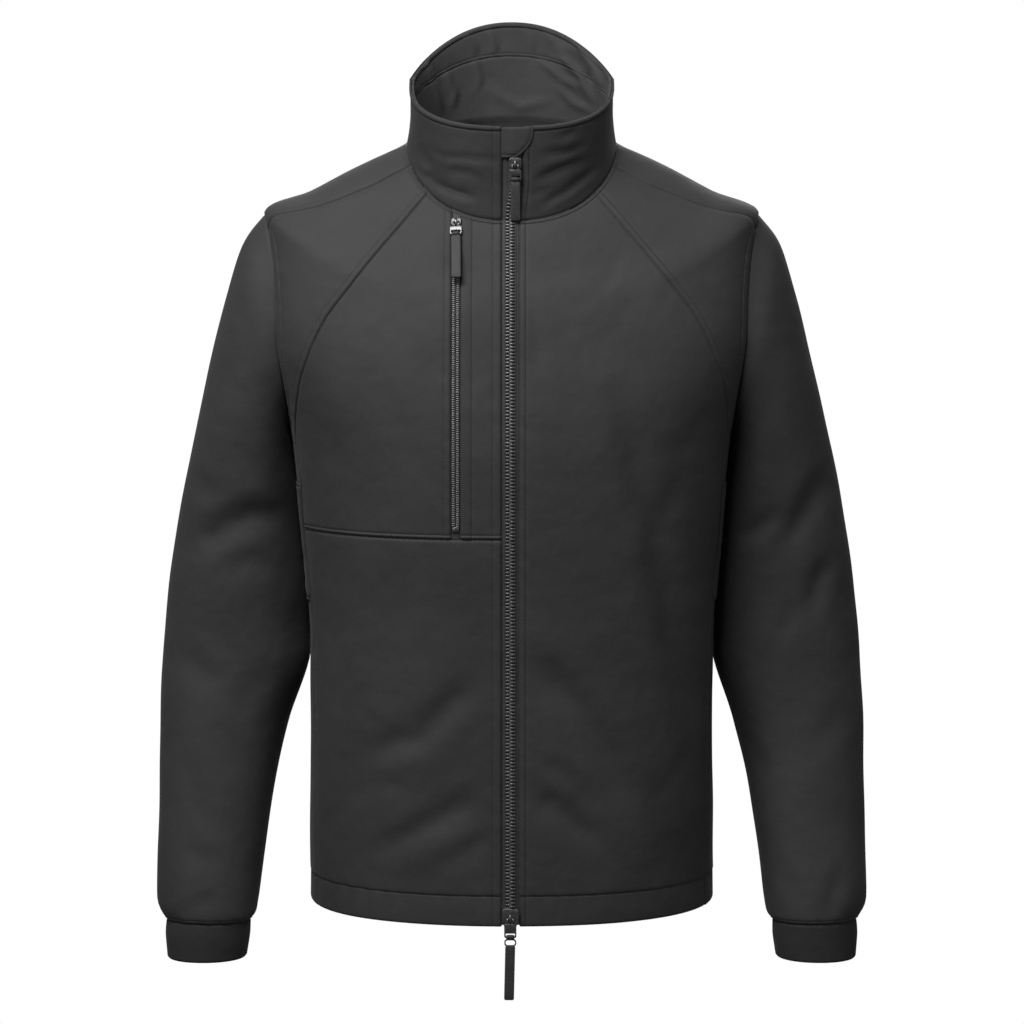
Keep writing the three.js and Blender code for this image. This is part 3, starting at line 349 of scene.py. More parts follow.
# The cloths' finishes: slot, darkest and lightest grey, thread pitch in m, sheen, roughness, weave. The cuff
# and collar finishes are the softshell darkened: painted shade.
CLOTH_LOOKS = {
    "softshell": ("softshell", 0.03, 0.046, 0.0006, 0.05, 0.68, 0.12),
    # cuff: the softshell darkened, painted shade for the light that falls off towards the cuffs
    "cuff": ("softshell", 0.022, 0.034, 0.0006, 0.04, 0.72, 0.12),
    # collar: the softshell darkened, painted shade for the collar's front that leans forward under the rim
    "collar": ("softshell", 0.026, 0.038, 0.0006, 0.05, 0.7, 0.12),
    "inner_cloth": ("inner_cloth", 0.034, 0.056, 0.0008, 0.12, 0.78, 0.15),
    "tape": ("tape", 0.03, 0.052, 0.001, 0.06, 0.6, 0.4),
    "puller": ("puller", 0.03, 0.05, 0.0007, 0.06, 0.55, 0.2),
}
# The hard finishes: slot, grey, metallic, roughness, grey where it is worn
HARD_LOOKS = {
    "teeth": ("teeth", 0.07, 0.12, 0.18, 0.14),
    "coil": ("teeth", 0.16, 0.2, 0.25, 0.24),
    "gunmetal": ("gunmetal", 0.12, 0.85, 0.34, 0.2),
}
THREAD = {"dark": 0.018, "light": 0.034, "rough": 0.6, "twist": 700.0}

# The view, in metres
PIXELS = 1024
CAMERA = {"place": (0.0004, -2.6, -0.205), "tilt": 87.1, "lens": 98.3, "sensor": 36}
AMBIENT = 0.12
LIGHTS = [
    # name, place, aimed at, size, power
    ("key", (-0.55, -1.05, 1.3), (0, 0, -0.2), (1.2, 0.8), 41),
    ("left", (-1.9, -1.6, 0.3), (0, 0, -0.3), (0.9, 1.6), 6),
    ("right", (1.9, -1.6, 0.3), (0, 0, -0.3), (0.9, 1.6), 5.5),
    ("behind", (0.3, 2.0, 1.2), (0, 0, -0.2), (2.0, 1.2), 30),
]

FINISHES, STITCHES = {}, []  # filled while the script runs


def smooth(t):
    t = np.clip(t, 0, 1)
    return t * t * (3 - 2 * t)


def bell(t):
    return np.exp(-(t**2))


def unit(v):
    return v / np.maximum(np.linalg.norm(v, axis=-1, keepdims=True), 1e-9)


def eased(heights, values, at):
    """A smooth value between those at some heights that never overshoots them."""
    width = np.diff(heights)
    slope = np.diff(values) / width
    a, b = slope[:-1], slope[1:]
    total = np.where(a + b == 0, 1, a + b)
    tangent = np.concatenate([[slope[0]], np.where(a * b <= 0, 0, 2 * a * b / total), [slope[-1]]])
    i = np.clip(np.searchsorted(heights, at, "right") - 1, 0, len(width) - 1)
    u = (at - heights[i]) / width[i]
    p, d = values[i], slope[i] * width[i]
    m, n = tangent[i] * width[i], tangent[i + 1] * width[i]
    return p + u * (m + u * (3 * d - 2 * m - n + u * (m + n - 2 * d)))


def between(table, key, at):
    """The value of a table's column at a place between its rows."""
    return eased(np.arange(len(table[key])), table[key], np.asarray(at, float))


def round_box(angle, box):
    s, c = np.abs(np.sin(angle)), np.abs(np.cos(angle))
    r = (s**box + c**box) ** (-1 / box)
    return s * r, c * r


def ring_point(table, turn, ring):
    turn, ring = np.broadcast_arrays(np.asarray(turn, float), np.asarray(ring, float))
    turn = turn - 2 * np.pi * np.round(turn / (2 * np.pi))
    front = np.abs(turn) <= np.pi / 2
    y, z, box, fall = (
        np.where(front, between(table, "front" + key, ring), between(table, "back" + key, ring))
        for key in ("Y", "Z", "Box", "Fall")
    )
    s, c = round_box(np.abs(turn), box)
    side_z = between(table, "sideZ", ring)
    x = np.where(turn < 0, -1, 1) * between(table, "sideX", ring) * s
    return np.stack([x, y * c, side_z + (z - side_z) * c**fall], -1)


def turn_at(table, x, ring):
    box = between(table, "frontBox", ring)
    s = np.abs(x) / between(table, "sideX", ring)
    return np.sign(x) * np.arctan2(s, (1 - s**box) ** (1 / box))


def arm_ring(table, side, angle, ring):
    angle, ring = np.broadcast_arrays(np.asarray(angle, float), np.asarray(ring, float))
    ahead, along = round_box(angle, ARM_BOX)
    along = along * np.where(np.cos(angle) < 0, -1, 1)
    ahead = ahead * np.where(np.sin(angle) < 0, -1, 1)
    ox, oz, ix, iz, middle, depth = (between(table, key, ring) for key in ARM_COLUMNS)
    x = side * (ox + ix + (ox - ix) * along) / 2
    return np.stack([x, middle - depth * ahead, (oz + iz + (oz - iz) * along) / 2], -1)


def armhole_spot(angle):
    reach = np.where(np.sin(angle) > 0, ARMHOLE_FRONT, ARMHOLE_BACK)
    return np.pi / 2 - reach * np.sin(angle), (UNDERARM + SHOULDER) / 2 + np.cos(angle)


def sleeve_point(side, angle, ring, blend=3):
    """A sleeve's surface. Its first rings, as many as blend, are drawn to the armhole."""
    angle, ring = np.broadcast_arrays(np.asarray(angle, float), np.asarray(ring, float))
    turn, level = armhole_spot(angle)
    miss = ring_point(TORSO, side * turn, level) - arm_ring(SLEEVE, side, angle, 0 * ring)
    return arm_ring(SLEEVE, side, angle, ring) + miss * (1 - smooth(ring / blend))[..., None]


class Form:
    """A surface with a place and a way out at each (u, v)."""

    STEP_U, STEP_V = 0.004, 0.02

    def __init__(self, at, last, sign, kind):
        self.at, self.last, self.sign, self.kind = at, last, sign, kind

    def spots(self, u, v):
        low, high = (np.clip(v + step, 0, self.last) for step in (-self.STEP_V, self.STEP_V))
        along = self.at(u + self.STEP_U, v) - self.at(u - self.STEP_U, v)
        out = unit(np.cross(along, self.at(u, high) - self.at(u, low))) * self.sign
        return self.at(u, v), out


TORSO_FORM = Form(lambda u, v: ring_point(TORSO, u, v), NECK, 1, "torso")
COLLAR_FORM = Form(lambda u, v: ring_point(COLLAR, u, v), RIM, 1, "collar")
INSIDE_FORM = Form(lambda u, v: ring_point(COLLAR, u, v), RIM, 1, "inside")
SLEEVES = {s: Form(lambda u, v, s=s: sleeve_point(s, u, v), CUFF_SEAM, s, "sleeve") for s in SIDES}
CUFFS = {s: Form(lambda u, v, s=s: arm_ring(CUFF, s, u, v), 2, s, "cuff") for s in SIDES}


def to_line(points, line, at_once=4000):
    """Each point's distance to a line of points, in 3-D."""
    flat = points.reshape(-1, 3)
    best = np.full(len(flat), 1e9)
    a, b = line[:-1], line[1:]
    d = b - a
    length = np.maximum((d * d).sum(1), 1e-9)
    for start in range(0, len(flat), at_once):
        part = flat[start : start + at_once, None, :]
        t = np.clip(((part - a) * d).sum(2) / length, 0, 1)
        best[start : start + at_once] = np.sqrt((((a + t[..., None] * d) - part) ** 2).sum(2)).min(1)
    return best.reshape(points.shape[:-1])


def lengths(points, axis):
    steps = np.linalg.norm(np.diff(points, axis=axis), axis=2)
    zero = np.zeros_like(np.take(steps, [0], axis=axis))
    return np.concatenate([zero, np.cumsum(steps, axis=axis)], axis=axis)


def run_of(points):
    """How far along a line each of its points is."""
    return lengths(points[:, None], 0)[:, 0]


def near_path(point, path):
    """Each point's distance to a path in x and z, its side of it, and its share of the way along."""
    best = np.full(point.shape[:-1], 1e9)
    side, share = np.zeros(best.shape), np.zeros(best.shape)
    run = run_of(np.array(path, float))
    for (ax, az), (bx, bz), done in zip(path[:-1], path[1:], run):
        dx, dz = bx - ax, bz - az
        px, pz = point[..., 0] - ax, point[..., 2] - az
        t = np.clip((px * dx + pz * dz) / (dx * dx + dz * dz), 0, 1)
        far = np.hypot(px - t * dx, pz - t * dz)
        closer = far < best
        best = np.where(closer, far, best)
        side = np.where(closer, np.sign(dx * pz - dz * px), side)
        share = np.where(closer, (done + t * math.hypot(dx, dz)) / run[-1], share)
    return best, side, share


def folds_in(kind, point, out):
    """How far in the folds bring each point."""
    depth = np.zeros(point.shape[:-1])
    for (on, face), folds in FOLDS.items():
        if on != kind:
            continue
        facing = -out[..., 1] if face == "front" else out[..., 1]
        if kind == "inside":
            facing = point[..., 1] / INSIDE_BACK
        for wide, deep, lift, path in folds:
            far, side, share = near_path(point, path)
            # it fades where the cloth turns away, near its start and, more slowly, towards its end
            weight = smooth((facing - 0.1) / 0.5) * smooth(0.35 + share / 0.3)
            weight = weight * smooth(0.2 + (1 - share) / 0.5)
            trough = deep * bell(far / (FOLD["trough"] * wide))
            beside = far * side * np.sign(lift) - FOLD["ridge_at"] * wide
            ridge = abs(lift) * bell(beside / (FOLD["ridge"] * wide)) * bell(far / (FOLD["ridge_end"] * wide))
            depth += (trough - ridge) * weight
    return depth


WAVE_WAYS = np.random.default_rng(7).normal(size=(WAVES["count"], 3))
WAVE_STARTS = np.random.default_rng(8).uniform(0, 2 * np.pi, WAVES["count"])


def unevenness(point):
    """Soft waves, each its own way."""
    total = np.zeros(point.shape[:-1])
    for way, start in zip(WAVE_WAYS, WAVE_STARTS):
        total += np.sin(point @ (way / WAVES["long"] * 2.6) + start)
    return total * WAVES["high"] / 3.7


def puckers(point):
    """Small waves across a stitched line, of uneven length and height."""
    run = point[..., 2] + 0.6 * point[..., 0]
    swell = 0.6 + 0.4 * np.sin(run / 31 + 0.4) * np.sin(run / 12.3)
    waves = np.sin(run / PUCKERS["long"] + 1.6 * np.sin(run / 17) + point[..., 0] / 9)
    return PUCKERS["high"] * swell * waves


def mesh_marks(*kinds):
    """The mesh lines near an edge that may be finished in several ways, none of them too close."""
    kept = sorted({s for kind in kinds for s in kind.stitches})
    for mark in sorted(m for kind in kinds for m in kind.marks()):
        if mark >= 0 and all(abs(mark - other) > LEAST_SPACING for other in kept):
            kept.append(mark)
    kept = sorted(kept)
    return np.array([0.0] + [m for m in kept if m > 0.2] + [kept[-1] + 2.4, kept[-1] + 5.6])


def slant(edge, inner):
    """The sine of the angle at which the mesh lines leave an edge."""
    sine = np.linalg.norm(np.cross(unit(np.gradient(edge, axis=0)), unit(inner - edge)), axis=1)
    return np.clip(sine, 0.5, 1)


def placed_marks(run, at, first, last, spacing, share, slants):
    """Along each line, the parameter at the first edge's marks, at even ones and at the last edge's."""
    free = np.quantile(run[-1], share) - first[-1] - last[-1]
    middle = max(1, int(round(free / spacing)))
    rows = []
    for i in range(run.shape[1]):
        total = run[-1, i]
        a, b = first / slants[0][i], last[::-1] / slants[1][i]
        fit = min(1.0, 0.92 * total / (a[-1] + b[0]))
        even = np.linspace(a[-1] * fit, total - b[0] * fit, middle + 1)[1:-1]
        rows.append(np.interp(np.concatenate([a * fit, even, total - b * fit]), run[:, i], at))
    return np.array(rows)


def grid_of(form, where, rows, marks, spacing):
    """A panel's (t, k) grid: even in the middle, and at set distances from each of its four edges."""
    fine_t, fine_k = np.linspace(0, 1, 49), np.linspace(0, rows, 261)
    k, t = np.meshgrid(fine_k, fine_t, indexing="ij")
    p = form.at(*where(t, k))
    slants = slant(p[0], p[1]), slant(p[-1], p[-2])
    k_rows = placed_marks(lengths(p, 0), fine_k, marks["low"], marks["high"], spacing, 0.5, slants).T
    t_rows = np.broadcast_to(fine_t, k_rows.shape)
    p = form.at(*where(t_rows, k_rows))
    slants = slant(p[:, 0], p[:, 1]), slant(p[:, -1], p[:, -2])
    t_grid = placed_marks(lengths(p, 1).T, fine_t, marks["start"], marks["end"], spacing, 0.8, slants)
    k_grid = np.stack([np.interp(t_grid[r], fine_t, k_rows[r]) for r in range(len(k_rows))])
    return t_grid, k_grid


def tube_grid(form, where, rows, marks, spacing, columns):
    """A tube's (t, k) grid: set columns, and rows at set distances from its two ends."""
    fine_k = np.linspace(0, rows, 261)
    k, t = np.meshgrid(fine_k, columns, indexing="ij")
    run = lengths(form.at(*where(t, k)), 0)
    flat = np.ones(len(columns))
    k_grid = placed_marks(run, fine_k, marks["low"], marks["high"], spacing, 0.5, (flat, flat)).T
    return np.broadcast_to(columns, k_grid.shape).copy(), k_grid


def shared_out(own, other):
    """The way in which two walls that meet at an angle both end: on one plane between them."""
    mean = unit(own + other)
    cosine = (own * mean).sum(-1, keepdims=True)
    tangent = unit(mean - own * cosine)
    steep = cosine < MOST_ASLANT
    limited = own * MOST_ASLANT + tangent * math.sqrt(1 - MOST_ASLANT**2)
    return np.where(steep, limited / MOST_ASLANT, mean / np.maximum(cosine, MOST_ASLANT))


def edge_of(edge):
    """The index of a panel's edge in its grid."""
    return {"start": np.s_[:, :1], "end": np.s_[:, -1:], "low": np.s_[:1], "high": np.s_[-1:]}[edge]


def blended(out, point, edge, other, weight=1.0):
    """Turns the way out near an edge towards the one that both walls share there."""
    index = edge_of(edge)
    shared = shared_out(out[index], other.reshape(out[index].shape))
    near = 1 - smooth(np.linalg.norm(point - point[index], axis=-1, keepdims=True) / MITRE)
    return out + (shared - out) * near * weight


def panel(name, form, where, rows, kinds, seams, slot="softshell", mitres=(), quiet=(), face=0.0, thick=CLOTH,
          columns=None, free=(), inside=False, spacing=SPACING):
    """A piece of cloth as a closed shell on its form.

    where(t, k) gives the form's (u, v) for t from 0 to 1 across and k from 0 to rows along. kinds names the
    finishes at its start, end, low and high edge. seams lists (line, finish) for what runs along it.
    mitres lists (edge, function giving the other wall's way out, weight). quiet lists the lines where it
    lies still. columns is given for a tube. free names the edges that nothing is sewn to. inside says that
    its inner face is the one that shows.
    """
    tube = columns is not None
    marks = {edge: mesh_marks(*kinds.get(edge, [PLAIN])) for edge in EDGES}
    if tube:
        t, k = tube_grid(form, where, rows, marks, spacing, columns)
    else:
        t, k = grid_of(form, where, rows, marks, spacing)
    u, v = where(t, k)
    point, out = form.spots(u, v)
    way = out.copy()
    for edge, other, weight in mitres:
        way = blended(way, point, edge, other(k, u, v), weight(k) if callable(weight) else weight)
    calm = np.ones(t.shape)
    for line in quiet:
        calm = calm * smooth(to_line(point, line) / CALM)
    soft = (-folds_in(form.kind, point, out) + unevenness(point)) * calm
    sewn = np.zeros(t.shape)
    for line, kind in seams:
        away = to_line(point, line)
        sewn = sewn + kind.height(away)
        if kind.stitches:
            soft = soft + puckers(point) * bell((away - kind.stitches[-1]) / PUCKERS["reach"])
    face = face(t) if callable(face) else face
    shown = soft + face + (0 if inside else sewn)
    behind = soft + face - thick - (sewn if inside else 0)
    for edge in free:
        near = bell(np.linalg.norm(point - point[edge_of(edge)], axis=-1) / FREE_EDGE["reach"])
        shown, behind = shown - FREE_EDGE["thinner"] * near, behind + FREE_EDGE["thinner"] * near
    outer, inner = point + way * shown[..., None], point + way * behind[..., None]
    obj = shell(f"{name}_cloth", outer, inner, way, slot, tube, free)
    return {"obj": obj, "outer": outer, "way": way, "t": t, "k": k, "marks": marks, "tube": tube}


def mesh_object(name, vertices, faces, slot):
    """An object from vertices in millimetres, with the finish listed under slot."""
    mesh = bpy.data.meshes.new(name)
    mesh.from_pydata((np.asarray(vertices) / 1000).tolist(), [], faces)
    mesh.update()
    mesh.shade_smooth()
    mesh.materials.append(FINISHES[slot][0])
    obj = bpy.data.objects.new(name, mesh)
    bpy.context.scene.collection.objects.link(obj)
    return obj


def shell(name, outer, inner, way, slot, tube=False, free=()):
    """A closed shell between two faces. A free edge is rounded off, and a sewn one is square."""
    rows, cols = outer.shape[:2]
    count = rows * cols
    ids = np.arange(count).reshape(rows, cols)
    wrap = np.concatenate([ids, ids[:, :1]], axis=1) if tube else ids
    a, b, c, d = wrap[:-1, :-1], wrap[:-1, 1:], wrap[1:, 1:], wrap[1:, :-1]
    front = np.stack([a, b, c, d], -1).reshape(-1, 4)
    across, along = outer[:-1, 1:] - outer[:-1, :-1], outer[1:, :-1] - outer[:-1, :-1]
    flip = (np.cross(across, along) * way[:-1, :-1]).sum() < 0
    low, high = outer[0] - outer[1], outer[-1] - outer[-2]
    if tube:
        low, high = np.concatenate([low, low[:1]]), np.concatenate([high, high[:1]])
    sides = {"low": (wrap[0], low), "high": (wrap[-1][::-1], high[::-1])}
    if not tube:
        sides["start"] = ids[::-1, 0], (outer[:, 0] - outer[:, 1])[::-1]
        sides["end"] = ids[:, -1], outer[:, -1] - outer[:, -2]
    faces, extra = [front, front[:, ::-1] + count], []
    flat = np.concatenate([outer.reshape(-1, 3), inner.reshape(-1, 3)])
    total = 2 * count
    for edge, (run, away) in sides.items():
        if edge not in free:
            faces.append(np.stack([run[1:], run[:-1], run[:-1] + count, run[1:] + count], -1))
            continue
        middle = (flat[run % count] + flat[run + count]) / 2
        reach = unit(away) * FREE_EDGE["bulge"]
        new = total + np.arange(len(run))
        if tube:
            middle, reach, new[-1] = middle[:-1], reach[:-1], total
        else:
            reach[[0, -1]] = 0
        extra.append(middle + reach)
        total += len(middle)
        faces.append(np.stack([run[1:], run[:-1], new[:-1], new[1:]], -1))
        faces.append(np.stack([new[1:], new[:-1], run[:-1] + count, run[1:] + count], -1))
        if not tube:
            faces.append(np.array([[run[0], new[0], run[0] + count]]))
            faces.append(np.array([[run[-1] + count, new[-1], run[-1]]]))
    faces = [face for part in faces for face in (part[:, ::-1] if flip else part).tolist()]
    return mesh_object(name, np.concatenate([flat, *extra]), faces, slot)


def sew(cloth, edge, kind, first=0.0, last=1e9):
    """Sews a finish's stitches along a panel's edge, where the other parameter is between two values."""
    across = edge in ("start", "end")
    for distance in kind.stitches:
        at = int(np.argmin(np.abs(cloth["marks"][edge] - distance)))
        at = -1 - at if edge in ("end", "high") else at
        pick = np.s_[:, at] if across else np.s_[at]
        along = cloth["k" if across else "t"][pick]
        kept = (along >= first) & (along <= last)
        line, way = cloth["outer"][pick][kept], unit(cloth["way"][pick])[kept]
        if cloth["tube"]:
            line, way = np.concatenate([line, line[:1]]), np.concatenate([way, way[:1]])
        run = run_of(line)
        begins = np.arange(STITCH["first"], run[-1] - STITCH["long"] - 0.5, STITCH["pitch"])
        n = unit(taken(begins + STITCH["long"] / 2, run, way))
        ends = (taken(begins + d, run, line) - n * STITCH["sunk"] for d in (0, STITCH["long"]))
        STITCHES.append((*ends, n))


def taken(at, run, values):
    """Rows of three values at distances along a line."""
    return np.stack([np.interp(at, run, values[:, i]) for i in range(3)], -1)


def walls(count, around, closed=False):
    """The faces between loops of points, each with as many points."""
    faces = []
    for r in range(count if closed else count - 1):
        a, b = r * around, ((r + 1) % count) * around
        faces += [[a + i, a + (i + 1) % around, b + (i + 1) % around, b + i] for i in range(around)]
    return faces


def ends_of(count, around):
    """The two faces that close a row of loops."""
    return [list(range(around))[::-1], list(range((count - 1) * around, count * around))]


def stitch_object(name, slot):
    """All the stitches: each a short thread that goes down into the cloth at both ends."""
    a, b, n = (np.concatenate([s[i] for s in STITCHES]) for i in range(3))
    side = unit(np.cross(unit(b - a), n))
    half, around = STITCH["half"], 5
    # share of the length, thickness, height
    profile = [(0.0, 0.5, -0.3), (0.2, 1.0, 0.05), (0.8, 1.0, 0.05), (1.0, 0.5, -0.3)]
    angles = np.linspace(0, 2 * np.pi, around + 1)[:-1]
    ring = [
        a + (b - a) * t + n * (up + half * size * math.sin(angle)) + side * (half * size * math.cos(angle))
        for t, size, up in profile
        for angle in angles
    ]
    vertices = np.stack(ring, 1)
    base = np.arange(len(vertices))[:, None, None] * len(ring)
    faces = []
    for group in (walls(len(profile), around), ends_of(len(profile), around)):
        faces += (base + np.array(group)[None]).reshape(-1, len(group[0])).tolist()
    return mesh_object(name, vertices.reshape(-1, 3), faces, slot)


def princess(level):
    """The princess seam's turn from the centre front at each level, found by halving."""
    level = np.asarray(level, float)
    low, high = np.full(level.shape, 0.2), np.full(level.shape, np.pi / 2)
    for _ in range(30):
        middle = (low + high) / 2
        point = ring_point(TORSO, middle, level)
        short = point[..., 0] < eased(PRINCESS["z"], PRINCESS["x"], point[..., 2])
        low, high = np.where(short, middle, low), np.where(short, high, middle)
    return (low + high) / 2


def side_seam_turn(level):
    share = smooth((UNDERARM - level) / SIDE_SEAM["over"])
    return np.radians(SIDE_SEAM["turn"] + SIDE_SEAM["back"] * share)


def outer_edge(k, way, count):
    """The outer edge of a side front (way -1) or of the back (way 1): (turn, level) by row."""
    level = np.interp(k, np.arange(SIDE_ROWS + 1), SIDE_LEVELS)
    hole = armhole_spot(np.radians(180 + way * ARM_STEP * np.clip(k - SIDE_ROWS, 0, count)))
    end = armhole_spot(np.radians(180 + way * ARM_STEP * count))
    at = k - SIDE_ROWS - count
    turns = np.radians([math.degrees(end[0])] + [row[0] for row in FORWARD_SEAM])
    levels = [float(end[1])] + [row[1] for row in FORWARD_SEAM]
    rows = np.arange(len(FORWARD_SEAM) + 1)
    above = [np.where(at <= 0, on, np.interp(at, rows, past)) for on, past in zip(hole, (turns, levels))]
    below = side_seam_turn(level), level
    return tuple(np.where(k <= SIDE_ROWS, *pair) for pair in zip(below, above))


def on_torso(turn, level):
    return ring_point(TORSO, turn, level)


def up_torso(x, levels):
    """A line up the torso's front at a given x."""
    return on_torso(turn_at(TORSO, x, levels), levels)


# The seams' lines on the forms
FINE = np.linspace(0, 1, 160)
ROUND, START = FINE * 2 * np.pi, 0 * FINE
HIPS_TO_NECK = FINE * NECK
CHEST_TO_NECK = CHEST_SEAM + FINE * (NECK - CHEST_SEAM)
POCKET_OUT, POCKET_IN = POCKET["x"] - POCKET["window"] / 2, POCKET["x"] + POCKET["window"] / 2
LINES = {
    "hem": on_torso(ROUND, START),
    "neck": on_torso(ROUND, START + NECK),
    "chest": on_torso(-np.radians(75) * FINE, START + CHEST_SEAM)[3:],
    "band": ring_point(COLLAR, ROUND, START + BAND_SEAM),
    "rim": ring_point(COLLAR, ROUND, START + RIM),
    "zip_right": up_torso(ZIP["right"], HIPS_TO_NECK),
    "zip_left": up_torso(ZIP["left"], HIPS_TO_NECK),
    "pocket_out": up_torso(POCKET_OUT, CHEST_TO_NECK),
    "pocket_in": up_torso(POCKET_IN, CHEST_TO_NECK),
}
for s in SIDES:
    hole = armhole_spot(ROUND)
    forward = outer_edge(SIDE_ROWS + FRONT_ROWS + FINE * len(FORWARD_SEAM), -1, FRONT_ROWS)
    LINES["princess", s] = on_torso(s * princess(HIPS_TO_NECK), HIPS_TO_NECK)
    LINES["side", s] = on_torso(s * side_seam_turn(FINE * UNDERARM), FINE * UNDERARM)
    LINES["armhole", s] = on_torso(s * hole[0], hole[1])
    LINES["forward", s] = on_torso(s * forward[0], forward[1])
    LINES["cuff", s] = CUFFS[s].at(ROUND, START)
    LINES["cuff_hem", s] = CUFFS[s].at(ROUND, START + 2)
    LINES["arm", s] = SLEEVES[s].at(START + np.pi, FINE * CUFF_SEAM)
    LINES["underarm", s] = SLEEVES[s].at(START + np.pi, 0.9 + 1.5 * FINE)


def neck_mitre(edge):
    """At the neck seam, the way out of the wall beyond it."""
    row, form, level = {"low": (0, TORSO_FORM, NECK), "high": (-1, COLLAR_FORM, 0)}[edge]
    return edge, lambda k, u, v: form.spots(u[row], 0 * v[row] + level)[1], 1.0


def arm_mitre(edge, side, way, count):
    """The armhole's shared way out, over the rows of a torso panel that meet it."""
    column = {"start": 0, "end": -1}[edge]

    def other(k, u, v):
        rows = np.clip(k[:, column] - SIDE_ROWS, 0, count)
        return SLEEVES[side].spots(np.radians(180 + way * ARM_STEP * rows), 0 * rows)[1]

    def weight(k):
        past = np.maximum(np.abs(k[:, column] - SIDE_ROWS - count / 2) - count / 2, 0)
        return (1 - smooth(past / MITRE_ROWS))[:, None, None]

    return edge, other, weight


def side_where(side):
    def where(t, k):
        level = np.interp(k, np.arange(len(PRINCESS_LEVELS)), PRINCESS_LEVELS)
        turn, outer_level = outer_edge(k, -1, FRONT_ROWS)
        start = princess(level)
        return side * (start + (turn - start) * t), level + (outer_level - level) * t

    return where


def back_where(t, k):
    turn, level = outer_edge(k, 1, BACK_ROWS)
    above = UNDERARM + (NECK - UNDERARM) * (k - SIDE_ROWS) / (TORSO_ROWS - SIDE_ROWS)
    middle = np.where(k <= SIDE_ROWS, level, above)
    across = 2 * t - 1
    return np.pi + (np.pi - turn) * across, level + (middle - level) * np.cos(across * np.pi / 2)


def front_where(from_turn, to_turn, low=0.0, high=float(NECK)):
    def where(t, k):
        level = low + (high - low) * k
        start, end = from_turn(level), to_turn(level)
        return start + (end - start) * t, level

    return where


def at_x(x):
    return lambda level: turn_at(TORSO, x, level)


def lean(ring):
    return smooth(ring / ZIP["lean_rings"])


def chain_x(ring):
    return ZIP["chain"] + ZIP["chain_lean"] * lean(ring)


def left_edge(ring):
    return ZIP["left"] + ZIP["edge_lean"] * lean(ring)


def collar_where(low, high, spare=0.0):
    def where(t, k):
        ring = low + (high - low) * k
        start = turn_at(COLLAR, ZIP["right"] - spare + 0 * ring, ring)
        end = turn_at(COLLAR, left_edge(ring) + spare, ring) - 2 * np.pi
        return start + (end - start) * t, ring

    return where


def arm_rows(count):
    """The rows of a torso panel along which the armhole is stitched."""
    return SIDE_ROWS + 0.5, SIDE_ROWS + count + 0.2


